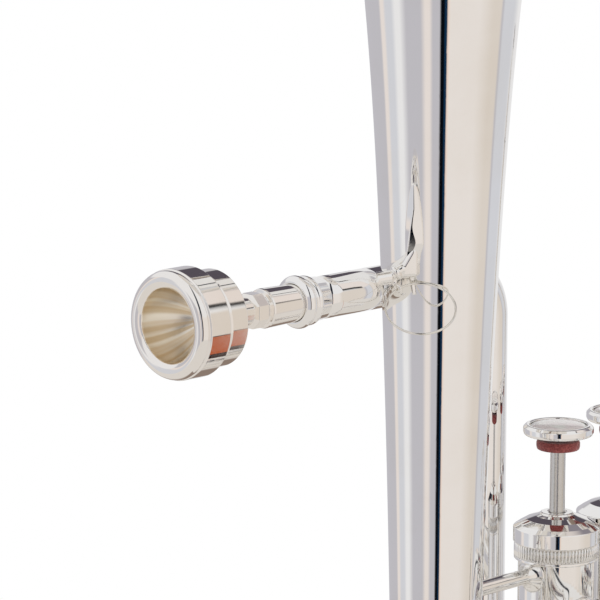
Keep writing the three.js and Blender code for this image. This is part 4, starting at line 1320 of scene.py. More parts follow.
    def branch(self) -> None:
        """The tapered tube from the bow to the main slide's socket."""
        run = Run([spot(self.span, 0, z) for z in (self.bow_end + self.gap, self.socket_top)])
        end, throat = run.length, run.length - 75
        rim = self.socket_radius + self.collar
        outline = [
            (0.0, self.outer_radius),
            (throat, self.socket_radius),
            (end - self.collar_length, self.socket_radius),
            (end - self.collar_length, rim),
            (end, rim),
            (end, self.socket_bore),
            (throat, self.socket_bore),
            (0.0, self.outer_radius - self.wall),
        ]
        piece = round_piece("outer_branch_tube", run, rounded(outline, 0.25))
        self.shop.silver(piece, "horn", "outer_branch")


@dataclass
class Leadpipe(Assembly):
    """Mouthpiece, receiver, mouthpipe, leaf stay and wire ring."""

    bell: BellAndBow
    valves: "ValveBlock"
    rim_x: float = -94.0
    drop: float = 178.0
    rim_radius: float = 13.25
    crest: float = 10.9
    fall: float = 0.9
    roll: float = 2.4
    cup_radius: float = 9.0
    cup_depth: float = 13.0
    throat: float = 2.0
    length: float = 60.0
    collar_start: float = 26.2
    collar_end: float = 31.0
    collar_radius: float = 4.5
    pipe_radius: float = 5.2
    pipe_end_radius: float = 6.2
    pipe_wall: float = 0.55
    bend: float = 13.0
    elbow_x: float = -20.0
    back_y: float = 26.0
    tilt: float = 15.4
    receiver_x: float = -52.2
    leaf_angle: float = -71.0
    leaf_low: float = -2.4
    leaf_high: float = 25.7
    leaf_width: float = 4.3
    leaf_thickness: float = 2.0
    leaf_lean: float = 25.0
    leaf_slope: float = 40.0
    ring_radius: float = 8.6
    ring_wire: float = 0.28
    ring_tilt: float = 55.0
    ring_turn: float = -45.0
    eye_turn: float = 39.3
    eye_radius: float = 1.15
    eye_wire: float = 0.33
    lug_start: float = 1.4
    lug_radius: float = 0.6
    stem_forward: float = 2.6

    @property
    def z(self) -> float:
        """Height of the mouthpipe's straight."""
        return self.bell.height - self.drop

    def build(self) -> None:
        """Makes the pieces."""
        self.mouthpiece()
        self.receiver()
        self.pipe()
        self.leaf_stay()
        self.wire_ring()

    def mouthpiece(self) -> None:
        """The mouthpiece, with its satin cup."""
        run = Run([spot(self.rim_x, 0, self.z), spot(self.rim_x + self.length, 0, self.z)])
        edge, steps = self.rim_radius - 0.2, 12
        rim = []
        for i in range(steps):
            share = i / steps
            lip = self.cup_radius + (self.crest - self.cup_radius) * share
            rim.append((self.fall * (1 - share) ** 2, lip))
        for i in range(steps + 1):
            turn = math.radians(80) * i / steps
            lip = self.crest + (edge - self.crest) * math.sin(turn)
            rim.append((self.roll * (1 - math.cos(turn)), lip))
        outside = [
            (self.roll + 0.1, edge - 0.25),
            (self.roll + 0.3, self.rim_radius),
            (8.8, self.rim_radius),
            (9.3, self.rim_radius - 0.45),
            (9.6, 11.8),
            (10.3, 11.3),
            (11.0, 11.7),
            (15.9, 11.7),
            (16.8, 10.7),
            (17.4, 9.0),
            (18.4, 7.0),
            (19.8, 5.3),
            (21.6, 4.0),
            (23.2, 3.4),
            (self.collar_start, 3.4),
            (self.collar_start + 0.8, self.collar_radius),
            (self.collar_end - 0.8, self.collar_radius),
            (self.collar_end, 3.6),
            (self.collar_end + 0.2, 3.9),
            (self.collar_end + 0.4, 4.7),
            (self.collar_end + 0.9, 4.85),
            (42.0, 4.6),
            (self.length, 4.1),
            (self.length, 3.3),
        ]
        cup = []
        for i in range(25):
            share = 1 - i / 24
            depth = self.fall + (self.cup_depth - self.fall) * share
            bowl = (self.cup_radius - self.throat) * (1 - share**2) ** 0.95
            cup.append((depth, self.throat + bowl))
        outline = rim + rounded(outside, 0.25, closed=False) + [(21.5, self.throat)] + cup[:-1]
        piece = round_piece("mouthpiece_body", run, outline, Sides.FINE)
        piece.data.materials.append(self.shop.finishes.of_slot[Slot.MOUTHPIECE])
        piece.data.materials.append(self.shop.finishes.satin)
        axis = to_frame(spot(self.rim_x, 0, self.z))
        self.mark_cup(piece, axis)
        self.cut_flats(piece, axis)
        self.shop.hand_over(piece, "mouthpiece_body", Slot.MOUTHPIECE, "mouthpiece")

    def cut_flats(self, piece: Piece, axis: Vector) -> None:
        """Cuts eight flats round the mouthpiece's collar.

        Args:
            piece: The mouthpiece.
            axis: The mouthpiece's rim on its axis, in the frame.
        """
        on_collar, half = set(), math.radians(22.5)
        for corner in piece.data.vertices:
            offset = corner.co - axis
            out = Vector((offset.y, offset.z))
            if self.collar_start * MM < offset.x < self.collar_end * MM and out.length > 3.45 * MM:
                turn = (math.atan2(out.y, out.x) + half) % math.radians(45) - half
                flat = out * math.cos(half) / math.cos(turn)
                corner.co = axis + Vector((offset.x, flat.x, flat.y))
                on_collar.add(corner.index)
        for face in piece.data.polygons:
            if on_collar.issuperset(face.vertices):
                face.use_smooth = False

    def mark_cup(self, piece: Piece, axis: Vector) -> None:
        """Gives the satin finish, with its painted reflection streaks, to the faces inside the cup,
        and to no other.

        Args:
            piece: The mouthpiece.
            axis: The mouthpiece's rim on its axis, in the frame.
        """
        for face in piece.data.polygons:
            offset = face.center - axis
            outwards = Vector((0.0, offset.y, offset.z))
            inside = outwards.length < (self.cup_radius + 0.02) * MM
            inside = inside and face.normal.dot(outwards) < 0
            face.material_index = 1 if inside and offset.x < 21 * MM else 0

    def receiver(self) -> None:
        """The receiver with its two beads."""
        run = Run([spot(self.receiver_x, 0, self.z), spot(self.receiver_x + 8.5, 0, self.z)])
        swell = self.swell(12, (0.35, 5.55), (2.75, 0.95), 0.7)
        second = self.swell(8, (3.7, 5.5), (1.9, 0.6), 0.8)
        outline = [(0.15, 4.72), (0.0, 4.95), (0.1, 5.35)] + swell + second
        outline += [(8.5, 5.35), (8.5, 4.6), (2.0, 4.7)]
        self.shop.silver(round_piece("receiver_body", run, outline), "horn", "receiver")

    def swell(self, steps: int, start: Span, size: Span, fullness: float) -> Profile:
        """The outline of a round bead.

        Args:
            steps: How many steps it has.
            start: Distance and radius at which it starts.
            size: Its length and height.
            fullness: The power of its curve, smaller for a fuller bead.

        Returns:
            The outline.
        """
        outline = []
        for t in range(steps + 1):
            rise = math.sin(math.pi * t / steps) ** fullness
            outline.append((start[0] + size[0] * t / steps, start[1] + size[1] * rise))
        return outline

    def pipe_run(self) -> Run:
        """The mouthpipe's centre line.

        Returns:
            The run.
        """
        fall = self.back_y * math.tan(math.radians(self.tilt))
        x, low = self.valves.x(0), self.valves.lower
        corners = [
            spot(self.receiver_x + 8.8, 0, self.z),
            spot(self.elbow_x, 0, self.z),
            spot(self.elbow_x, self.back_y, self.z - fall),
            spot(x, self.back_y, self.z - fall),
            spot(x, self.back_y, low),
            spot(x, 0, low),
        ]
        return Run(corners, self.bend)

    def pipe(self) -> None:
        """The mouthpipe from the receiver round the bell's back to the first valve."""
        run = self.pipe_run()
        end = run.length - 10.0
        count = 60
        growth = self.pipe_end_radius - self.pipe_radius
        outer = [(end * i / count, self.pipe_radius + growth * i / count) for i in range(count + 1)]
        inner = [(s, r - self.pipe_wall) for s, r in reversed(outer)]
        self.shop.silver(round_piece("mouthpipe_tube", run, outer + inner), "horn", "mouthpipe")

    def leaf_place(self, height: float, outwards: float) -> Vector:
        """A place on the bell at the leaf's azimuth, with a height above the mouthpipe's axis."""
        place = facing(self.leaf_angle) * (self.bell.radius_at(self.z + height) + outwards)
        return spot(place.x, place.y, self.z + height)

    def blade(self) -> Piece:
        """The leaf: pointed at its top, with three facets along it, lying on the bell.

        Returns:
            The leaf.
        """
        rows = 60
        along = facing(self.leaf_angle).cross(UP) * -1
        lean = math.tan(math.radians(self.leaf_lean))
        slope = math.tan(math.radians(self.leaf_slope))
        places: List[Vector] = []
        faces: List[Sequence[int]] = []
        for i in range(rows + 1):
            share = i / rows
            height = self.leaf_low + (self.leaf_high - self.leaf_low) * share
            wide = self.leaf_width / 2 * math.sin(math.pi * (0.03 + share * 0.95)) ** 0.6 + 0.1
            foot = 0.33 + 0.67 * min(max((share - 0.14) / 0.16, 0.0), 1.0)
            swell = math.sin(math.pi * (0.16 + share * 0.82)) ** 0.5
            thick = self.leaf_thickness * foot * swell + 0.1
            drift = min(max((share - 0.38) / 0.4, 0.0), 1.0)
            left = wide * (-0.62 + 0.9 * drift)
            right = left + wide * (0.12 + 0.75 * math.exp(-(((share - 0.46) / 0.11) ** 2)))
            ridge = thick - (right - left) * lean
            edge = min(wide, right + (ridge - 0.1) / slope)
            section = [(-wide, 0.0), (-wide, thick * 0.45), (left, thick)]
            section += [(right, ridge), (edge, ridge - (edge - right) * slope), (edge, 0.0)]
            outline = []
            for (x0, y0), (x1, y1) in zip(section, section[1:] + section[:1]):
                for cut in (0.1, 0.16, 0.84, 0.9):
                    outline.append((x0 + (x1 - x0) * cut, y0 + (y1 - y0) * cut))
            count = len(outline)
            for across, out in outline:
                places.append(self.leaf_place(height, 0.08 + out) + along * across)
            for j in range(count if i < rows else 0):
                a, b = i * count + j, i * count + (j + 1) % count
                faces.append((a, b, b + count, a + count))
        faces += [tuple(range(count)), tuple(range(rows * count, (rows + 1) * count))]
        return mesh_piece("blade", places, faces)

    def ring_frame(self) -> Tuple[Vector, Vector, Vector]:
        """The wire ring's centre and the two vectors of its plane.

        Returns:
            The centre and two unit vectors.
        """
        tilt = math.radians(self.ring_tilt)
        across = facing(self.ring_turn + 90)
        over = facing(self.ring_turn) * -math.sin(tilt) + UP * math.cos(tilt)
        height, sideways = -self.ring_radius * 0.49, -self.ring_radius * 0.62
        top = height + self.ring_radius * math.cos(tilt)
        free = self.bell.radius_at(self.z + top) + self.ring_wire + 0.5
        surface = math.sqrt(free**2 - sideways**2)
        out = surface + self.ring_radius * math.sin(tilt)
        centre = facing(self.ring_turn) * out + across * sideways + UP * (self.z + height)
        return centre, across, over

    def leaf_stay(self) -> None:
        """Leaf, bar to the mouthpipe's elbow, saddle on it, and the eyelet for the ring."""
        centre, across, over = self.ring_frame()
        turn = math.radians(self.eye_turn)
        spoke = over * math.cos(turn) - across * math.sin(turn)
        eyelet = centre + spoke * self.ring_radius
        tangent = across * math.cos(turn) + over * math.sin(turn)
        quarter = math.radians(45)
        y = self.bend * (1 - math.cos(quarter))
        x = self.elbow_x - self.bend * (1 - math.sin(quarter))
        elbow = spot(x, y, self.z - y * math.tan(math.radians(self.tilt)))
        root = self.leaf_place(0.0, 1.0)
        along = root - elbow
        along.z = 0.0

        def between(share: float, height: float) -> Vector:
            """A place between elbow and leaf, with a height above the mouthpipe's axis."""
            place = elbow + along * share + facing(self.ring_turn) * self.stem_forward * (1 - share)
            return spot(place.x, place.y, self.z + height)

        outward = (eyelet - centre).normalized()
        flat = tangent.cross(UP).normalized()
        upright = tangent.cross(tangent.cross(UP)).normalized()
        balls = [between(0.8, 4.4), between(0.8, 3.2), between(0.99, 8.6), between(1.0, 3.3)]
        parts = [
            bar("block", between(0.22, 1.9), between(0.58, 2.5), 1.75, 0.6),
            bar("neck", between(0.5, 2.4), between(0.8, 4.6), 1.3),
            bar("knob", between(0.62, 3.1), between(0.7, 3.8), 1.9, 0.5),
            hull("web", balls, 1.1),
            bar("lug", between(0.64, 3.2), eyelet + outward * self.lug_start, self.lug_radius),
            ring("eye", eyelet, flat, upright, self.eye_radius, self.eye_wire, 12),
        ]
        stay = joined("leaf_and_bar", [casting("stem_and_eye", parts, 0.13, 10), self.blade()])
        self.shop.cast(stay, "horn", "leaf_stay")

    def wire_ring(self) -> None:
        """The loose ring that hangs from the eyelet and leans on the bell."""
        centre, across, over = self.ring_frame()
        piece = ring("loose_ring", centre, across, over, self.ring_radius, self.ring_wire, 16)
        self.shop.hand_over(piece, "ring_body", Slot.WIRE, "wire_ring")


@dataclass
class ValveBlock(Assembly):
    """Three piston valves with their caps, buttons and the knuckles between them."""

    count: int = 3
    first_x: float = 46.0
    spacing: float = 25.0
    radius: float = 10.0
    bore: float = 9.2
    bottom: float = 150.0
    top: float = 255.0
    upper: float = 230.0
    lower: float = 195.0
    port: float = 5.2
    piston: float = 8.9
    stem: float = 2.0
    cap_wall: float = 1.4
    cap_skirt: float = 9.0
    dome: float = 3.4
    button_z: float = 277.9

    def x(self, index: int) -> float:
        """A valve's place along the row."""
        return self.first_x + index * self.spacing

    def axis(self, index: int) -> Run:
        """A valve's axis, with distances counted as heights."""
        return Run([spot(self.x(index), 0, 0), spot(self.x(index), 0, 1)])

    def build(self) -> None:
        """Makes the pieces."""
        for i in range(self.count):
            self.casing(i)
            self.cap(i, "top", self.top, 1, self.stem + 0.3)
            self.cap(i, "bottom", self.bottom, -1, self.stem)
            self.moving(i)
        for i in range(self.count - 1):
            self.knuckle(i)

    def knuckle_z(self, index: int) -> float:
        """Height of the knuckle behind a valve."""
        return (self.upper + self.lower) / 2 if index % 2 == 0 else self.lower

    def casing(self, index: int) -> None:
        """The casing, open at its ports.

        Args:
            index: The valve's number, from 0.
        """
        outer, inner = self.radius, self.bore
        outline = [(self.bottom, inner), (self.bottom, outer), (self.top, outer), (self.top, inner)]
        piece = round_piece(f"casing_{index + 1}", self.axis(index), rounded(outline, 0.2))
        x = self.x(index)
        holes = [(spot(x, -14, z), spot(x, 0, z)) for z in (self.upper, self.lower)]
        if index == 0:
            holes.append((spot(x, 0, self.lower), spot(x, 14, self.lower)))
        else:
            before = self.knuckle_z(index - 1)
            holes.append((spot(x - 14, 0, before), spot(x, 0, before)))
        z = self.upper if index == self.count - 1 else self.knuckle_z(index)
        holes.append((spot(x, 0, z), spot(x + 14, 0, z)))
        self.shop.silver(drilled(piece, holes, self.port), "horn", f"valve_casing_{index + 1}")

    def cap(self, index: int, end: str, z: float, way: int, hole: float) -> None:
        """A domed cap with a knurled skirt.

        Args:
            index: The valve's number, from 0.
            end: Which end of the casing, top or bottom.
            z: The height of the casing's end.
            way: 1 up or away from the start, -1 the other way.
            hole: The radius of its hole.
        """
        inside, outside = self.radius + 0.3, self.radius + self.cap_wall
        low = -self.cap_skirt
        outline = [
            (low, inside),
            (low, outside - 0.3),
            (low + 0.8, outside - 0.3),
            (low + 0.8, outside - 0.75),
            (low + 4.6, outside - 0.75),
            (low + 4.6, outside),
            (-0.6, outside),
            (0.4, outside - 1.4),
            (1.6, outside - 3.4),
            (2.4, self.stem + 3.6),
            (2.9, self.stem + 2.6),
            (self.dome, self.stem + 2.2),
            (self.dome, hole),
            (0.3, hole),
            (0.3, inside),
        ]
        run = Run([spot(self.x(index), 0, z), spot(self.x(index), 0, z + way)])
        piece = round_piece(f"{end}_cap_body_{index + 1}", run, rounded(outline, 0.4))
        piece.data.materials.append(self.shop.finishes.silver)
        middle = to_frame(spot(self.x(index), 0, z + way * (low + 2.7)))
        self.shop.knurl.apply(
            piece,
            Ridges=72,
            Radius=(outside - 0.72) * MM,
            Height=3.4 * MM,
            Width=0.45 * MM,
            Base=middle.z,
            Centre_X=middle.x,
            Centre_Y=middle.y,
        )
        self.shop.silver(piece, "horn", f"{end}_cap_{index + 1}")

    def moving(self, index: int) -> None:
        """Piston with stem, finger button, pearl and felt.

        Args:
            index: The valve's number, from 0.
        """
        n, x, body, axis = index + 1, self.x(index), f"valve_{index + 1}", self.axis(index)
        shaft = [
            (188.4, 0.0),
            (188.4, 7.2),
            (187.0, 7.2),
            (187.0, self.piston),
            (249.0, self.piston),
            (249.0, 4.3),
            (254.7, 4.3),
            (254.7, self.stem),
            (277.6, self.stem),
            (277.6, 0.0),
        ]
        piston = round_piece(f"piston_body_{n}", axis, rounded(shaft, 0.25, closed=False))
        holes = [(spot(x, -14, z), spot(x, 14, z)) for z in (self.upper, self.lower)]
        middle = (self.upper + self.lower) / 2
        holes.append((spot(x - 14, 0, middle), spot(x + 14, 0, middle)))
        drilled(piston, holes, self.port)
        self.shop.hand_over(piston, body, Slot.PISTON, f"piston_{n}")
        b = self.button_z
        button = [(b, 0.0), (b, 3.6), (b + 0.5, 5.2), (b + 1.2, 8.9), (b + 1.9, 9.2)]
        button += [(b + 3.1, 9.2), (b + 3.9, 8.4), (b + 3.9, 7.5), (b + 2.5, 7.5), (b + 2.5, 0.0)]
        cap = round_piece(f"button_{n}", axis, rounded(button, 0.5, closed=False))
        self.shop.silver(cap, body, f"finger_button_{n}")
        edge, rise = 7.2, 0.85
        shell = [(b + 2.8, 0.0), (b + 2.8, edge), (b + 3.4, edge)]
        for turn in (math.radians(t) for t in range(84, 0, -6)):
            shell.append((b + 3.4 + rise * math.cos(turn), edge * math.sin(turn)))
        pearl = round_piece(f"pearl_disc_{n}", axis, shell + [(b + 3.4 + rise, 0.0)])
        self.shop.hand_over(pearl, body, Slot.PEARL, f"pearl_{n}")
        felt = [(275.2, 2.3), (275.2, 5.5), (276.0, 5.7), (276.9, 5.7), (277.6, 5.4), (277.6, 2.3)]
        washer = round_piece(f"felt_{n}", axis, rounded(felt, 0.3))
        self.shop.hand_over(washer, body, Slot.FELT, f"button_felt_{n}")

    def knuckle(self, index: int) -> None:
        """The short tube between two casings.

        Args:
            index: The number of the valve before it.
        """
        z = self.knuckle_z(index)
        run = Run([spot(self.x(index), 0, z), spot(self.x(index + 1), 0, z)])
        outline = [(7.0, 6.0), (18.0, 6.0), (18.0, self.port), (7.0, self.port)]
        name = f"knuckle_tube_{index + 1}"
        piece = round_piece(name, run, outline, Sides.TUBE, self.radius, self.radius)
        self.shop.silver(piece, "horn", f"knuckle_{index + 1}")


@dataclass
class Slides(Assembly):
    """The branches with their sockets and the four slides in them."""

    bell: BellAndBow
    valves: ValveBlock
    socket: float = 7.1
    bore: float = 6.2
    leg: float = 5.9
    leg_bore: float = 5.2
    crook: float = 6.6
    collar: float = 0.7
    collar_length: float = 4.0
    gap: float = 0.3
    lane: float = -25.0
    bend: float = 12.0
    inner_x: float = 150.0
    first_x: float = -12.0
    second_y: float = -34.0
    third_x: float = 122.0
    third_z: float = 112.0

    def build(self) -> None:
        """Makes the pieces."""
        x = [self.valves.x(i) for i in range(self.valves.count)]
        upper, lower, lane = self.valves.upper, self.valves.lower, self.lane
        inner, span, top = self.inner_x, self.bell.span, self.bell.socket_top
        corners = [spot(x[2], 0, upper), spot(inner, 0, upper), spot(inner, 0, top)]
        self.branch("inner_branch", corners, 20.0)
        for name, z in (("upper", upper), ("lower", lower)):
            corners = [spot(x[0], 0, z), spot(x[0], lane, z), spot(self.first_x, lane, z)]
            self.branch(f"first_{name}_branch", corners, self.bend)
            corners = [spot(x[1], 0, z), spot(x[1], self.second_y, z)]
            self.branch(f"second_{name}_branch", corners, self.bend)
        down = spot(self.third_x, lane, self.third_z)
        corners = [spot(x[2], 0, upper), spot(x[2], lane, upper), spot(down.x, lane, upper), down]
        self.branch("third_upper_branch", corners, self.bend)
        near = spot(x[2], lane, self.third_z)
        corners = [spot(x[2], 0, lower), spot(x[2], lane, lower), near]
        self.branch("third_lower_branch", corners, self.bend)
        self.slide("main", spot(inner, 0, top), spot(span, 0, top), UP, 66.0, 3.0)
        ends = [spot(self.first_x, lane, z) for z in (lower, upper)]
        self.slide("first", *ends, spot(-1, 0, 0), 42.0, 6.0)
        ends = [spot(x[1], self.second_y, z) for z in (lower, upper)]
        self.slide("second", *ends, spot(0, -1, 0), 18.0, 2.0)
        self.slide("third", near, down, -UP, 60.0, 3.0)

    def branch(self, name: str, corners: Sequence[Vector], bend: float) -> None:
        """A tube from a casing to a collared socket.

        Args:
            name: The object's name.
            corners: The corners of its run.
            bend: The radius of its bends.
        """
        run = Run(corners, bend)
        end, rim = run.length, self.socket + self.collar
        shoulder = end - self.collar_length
        lip = [(shoulder, self.socket), (shoulder, rim), (end, rim), (end, self.bore)]
        tip = rounded(lip, 0.2, closed=False)
        mouth = rounded([tip[-2], (end, self.bore), (end - 6, self.bore)], 0.2, closed=False)
        outline = [(6.6, self.socket), (11.0, self.socket)] + tip[:-1] + mouth[1:]
        outline += [(11.0, self.bore), (6.6, self.bore)]
        casing = self.valves.radius + 0.02
        tube = round_piece(name + "_tube", run, outline, Sides.TUBE, casing)
        self.shop.silver(tube, "horn", name)

    def slide(
        self,
        name: str,
        a: Vector,
        b: Vector,
        pull: Vector,
        leg: float,
        reach: float,
    ) -> None:
        """A slide: two legs, two collars and a half-round crook.

        Args:
            name: The slide's name.
            a: Its first socket's mouth.
            b: Its second socket's mouth.
            pull: The way it is pulled.
            leg: The length of its legs.
            reach: Straight length between collar and crook.
        """
        radius = (b - a).length / 2
        far = self.gap + self.collar_length + reach + radius
        near = self.gap - leg
        run = Run([a + pull * near, a + pull * far, b + pull * far, b + pull * near], radius)
        end, collar = run.length, self.crook + self.collar
        shoulder = leg + self.collar_length
        corners = [(0.0, self.leg_bore), (0.0, self.leg), (leg, self.leg), (leg, collar)]
        corners += [(shoulder, collar), (shoulder, self.crook), (end / 2, self.crook)]
        half = rounded(corners, 0.25, closed=False)
        other = [(end - s, r) for s, r in reversed(half[:-1])]
        piece = round_piece(f"{name}_crook", run, half + other)
        self.shop.silver(piece, f"{name}_tuning_slide", f"{name}_slide")


@dataclass
class Fittings(Assembly):
    """Stays, finger hook, thumb ring, lyre socket and water key."""

    bell: BellAndBow
    pipe: Leadpipe
    valves: ValveBlock
    slides: Slides
    stay_radius: float = 2.0
    foot_radius: float = 4.6
    foot_length: float = 4.0
    bell_stay_z: float = 243.0
    branch_stay_z: float = 262.0
    third_stay_z: float = 161.5
    casing_surface: float = 10.05
    branch_surface: float = 7.12
    hook_x: float = 109.0
    hook_z: float = 237.1
    thumb_y: float = 23.9
    thumb_z: float = 205.0
    lyre_y: float = -12.338
    lyre_z: float = 183.95
    key_x: float = 104.0
    key_z: float = 8.9
    nipple_x: float = 89.0

    def build(self) -> None:
        """Makes the pieces."""
        first, last, lane = self.valves.x(0), self.valves.x(2), self.slides.lane
        z, surface = self.bell_stay_z, self.branch_surface
        on_bell = self.bell.radius_at(z) + 0.1
        self.stay("bell_stay", spot(0, 0, z), spot(first, 0, z), on_bell, self.casing_surface)
        ends = [spot(x, 0, self.branch_stay_z) for x in (self.slides.inner_x, self.bell.span)]
        self.stay("branch_stay", *ends, surface, surface)
        ends = [spot(x, lane, self.third_stay_z) for x in (last, self.slides.third_x)]
        self.stay("third_slide_stay", *ends, surface, surface)
        self.back_stay()
        self.hook()
        self.thumb_ring()
        self.lyre()
        self.water_key()

    def foot(self, start: float, way: int) -> Profile:
        """A flared foot's outline from its tube outwards.

        Args:
            start: The distance at which it starts.
            way: 1 up or away from the start, -1 the other way.

        Returns:
            The outline.
        """
        steps, spread, length = 10, self.foot_radius - self.stay_radius, self.foot_length * way
        shares = [t / steps for t in range(steps + 1)]
        return [(start + length * t, self.stay_radius + spread * (1 - t) ** 2.6) for t in shares]

    def stay(
        self,
        name: str,
        start: Vector,
        end: Vector,
        start_on: float,
        end_on: float,
    ) -> None:
        """A bar with flared feet between two upright tubes.

        Args:
            name: The object's name.
            start: Where it starts.
            end: Where it ends.
            start_on: Radius of the tube that it starts on.
            end_on: Radius of the tube that it ends on.
        """
        run = Run([start, end])
        low, high = start_on - 1.2, run.length - end_on + 1.2
        feet = self.foot(low + 0.7, 1) + list(reversed(self.foot(high - 0.7, -1)))
        outline = [(low, 0.0)] + feet + [(high, 0.0)]
        piece = round_piece(name + "_bar", run, outline, Sides.TUBE, start_on, end_on)
        self.shop.cast(piece, "horn", name)

    def back_stay(self) -> None:
        """The short stay behind the bell that holds the mouthpipe."""
        x, end = 6.0, 21.6
        z = self.pipe.z - self.pipe.back_y * math.tan(math.radians(self.pipe.tilt))
        start = math.sqrt(self.bell.radius_at(z) ** 2 - x**2) - 0.5
        run = Run([spot(x, start, z), spot(x, end, z)])
        outline = [(0.0, 0.0)] + self.foot(0.0, 1)[:8] + [(run.length, 2.4), (run.length, 0.0)]
        self.shop.cast(round_piece("back_stay_bar", run, outline), "horn", "back_stay")

    def hook(self) -> None:
        """The finger hook: a bent rod with a rounded end on a small foot."""
        foot = spot(self.hook_x, self.slides.lane, self.hook_z)
        rises = [spot(0, 0, 19.3), spot(0, -18, 19.3), spot(0, -18, 5.5)]
        run, rod = Run([foot] + [foot + rise for rise in rises], 8.99), self.stay_radius
        end = run.length
        turns = [math.radians(t) for t in range(0, 90, 10)]
        tip = [(end - rod + rod * math.sin(t), rod * math.cos(t)) for t in turns]
        flare = [(0.6 + t * 0.3, rod + 2.0 * (1 - t / 10) ** 2.4) for t in range(1, 11)]
        outline = [(0.0, 0.0), (0.0, 4.2), (0.6, 4.1)] + flare + tip + [(end, 0.0)]
        self.shop.cast(round_piece("hook_rod", run, outline), "horn", "finger_hook")

    def thumb_ring(self) -> None:
        """The thumb ring and its foot."""
        x, z = self.valves.x(1), self.thumb_z
        loop = ring("loop", spot(x, self.thumb_y, z), spot(1, 0, 0), spot(0, 1, 0), 12.0, 1.6)
        run = Run([spot(x, 0, z), spot(x, 20, z)])
        base, tip = [(9.0, 0.0), (9.0, 4.6), (10.6, 4.5)], [(12.4, 2.2), (13.0, 1.2), (13.0, 0.0)]
        outline = rounded(base + [(11.6, 3.4)] + tip, 0.4, closed=False)
        foot = round_piece("foot", run, outline, Sides.TUBE, self.casing_surface)
        piece = joined("thumb_loop", [loop, foot])
        piece.data.shade_smooth()
        self.shop.cast(piece, "horn", "thumb_ring")

    def lyre(self) -> None:
        """The square socket on the outer branch and its knurled thumbscrew."""
        x, y, z = self.bell.span, self.lyre_y, self.lyre_z
        tube = self.square_tube("lyre_tube", spot(x, y, z), 9.0, 5.0, 14.0)
        self.shop.cast(tube, "horn", "lyre_socket")
        tip = spot(x, y - 2.2, z)
        head = [(4.8, 3.6), (5.2, 4.1), (7.2, 4.1), (7.8, 3.5), (7.8, 0.0)]
        outline = [(0.0, 0.0), (0.0, 1.5), (4.8, 1.5)] + head
        run = Run([tip, tip - spot(0, 1, 0)])
        screw = round_piece("thumbscrew_body", run, rounded(outline, 0.25, closed=False))
        screw.data.materials.append(self.shop.finishes.cast)
        stand = Matrix.Translation(to_frame(tip)) @ Matrix.Rotation(math.radians(90), 4, "X")
        screw.data.transform(stand.inverted())
        sizes = {"Radius": 4.15 * MM, "Height": 2.0 * MM, "Width": 0.32 * MM, "Base": 6.2 * MM}
        self.shop.knurl.apply(screw, Ridges=36, **sizes)
        screw.data.transform(stand)
        self.shop.cast(screw, "thumbscrew", "lyre_screw")

    def square_tube(
        self,
        name: str,
        centre: Vector,
        wide: float,
        hole: float,
        tall: float,
    ) -> Piece:
        """An upright square tube with bevelled edges.

        Args:
            name: The object's name.
            centre: Its centre.
            wide: The outer width.
            hole: The inner width.
            tall: The height.

        Returns:
            The object.
        """
        places, faces = [], []
        for size, height in ((wide, -tall), (wide, tall), (hole, tall), (hole, -tall)):
            for sx, sy in ((-1, -1), (1, -1), (1, 1), (-1, 1)):
                places.append(centre + spot(sx * size, sy * size, height) / 2)
        for i in range(4):
            for j in range(4):
                a, b = i * 4 + j, i * 4 + (j + 1) % 4
                faces.append((a, b, (b + 4) % 16, (a + 4) % 16))
        tube = mesh_piece(name, places, faces)
        edge = tube.modifiers.new("edge", "BEVEL")
        edge.width = 0.5 * MM
        edge.segments = 3
        fixed_mesh(tube)
        return sharp_shaded(tube)

    def water_key(self) -> None:
        """Nipple and saddle on the bow, lever with cork, and the coil spring round the pin."""
        z, x, face, arm = self.key_z, self.nipple_x, -12.2, -16.0
        pivot = spot(self.key_x, -14.6, z)
        saddle = [
            bar("nipple", spot(x, -7.0, z), spot(x, -11.9, z), 3.0),
            block("web", spot(97, -8.4, z), (17.0, 2.6, 7.0)),
            block("post_low", spot(self.key_x, -12.0, z - 2.8), (4.0, 9.0, 2.0)),
            block("post_high", spot(self.key_x, -12.0, z + 2.8), (4.0, 9.0, 2.0)),
        ]
        self.shop.cast(casting("key_saddle_casting", saddle, 0.2, 4), "horn", "key_saddle")
        lever = [
            bar("cup", spot(x, face - 1.7, z), spot(x, face - 3.7, z), 4.0, 0.6),
            block("arm", spot(106.5, arm, z), (35.0, 1.6, 3.0)),
            bar("hub", pivot + spot(0, 0, -1.5), pivot + spot(0, 0, 1.5), 1.4),
            bar("touch", spot(124, arm + 0.8, z), spot(124, arm - 0.8, z), 4.0, 0.6),
        ]
        self.shop.cast(casting("key_lever_casting", lever, 0.16, 4), "water_key", "key_lever")
        pad = bar("cork_pad", spot(x, face, z), spot(x, face - 1.4, z), 3.7)
        self.shop.hand_over(pad, "water_key", Slot.CORK, "key_cork")
        self.shop.hand_over(self.key_spring(pivot), "water_key", Slot.SPRING)

    def key_spring(self, pivot: Vector) -> Piece:
        """The coil round the key's hub, with one leg towards the bow and one along the arm.

        Args:
            pivot: The hinge's centre.

        Returns:
            The new object.
        """
        turns, steps, radius, wire_radius, half = 3, 72, 1.85, 0.26, 1.15
        path = [pivot + spot(-6.5, 3.6, -half)]
        for i in range(steps + 1):
            turn = math.pi / 2 - 2 * math.pi * turns * i / steps
            height = half * (2 * i / steps - 1)
            path.append(pivot + spot(radius * math.cos(turn), radius * math.sin(turn), height))
        path.append(pivot + spot(8.0, -0.3, half))
        run = Run(path)
        outline = [(0.0, 0.0), (0.0, wire_radius), (run.length, wire_radius), (run.length, 0.0)]
        return round_piece("key_spring_coil", run, outline, Sides.SMALL)


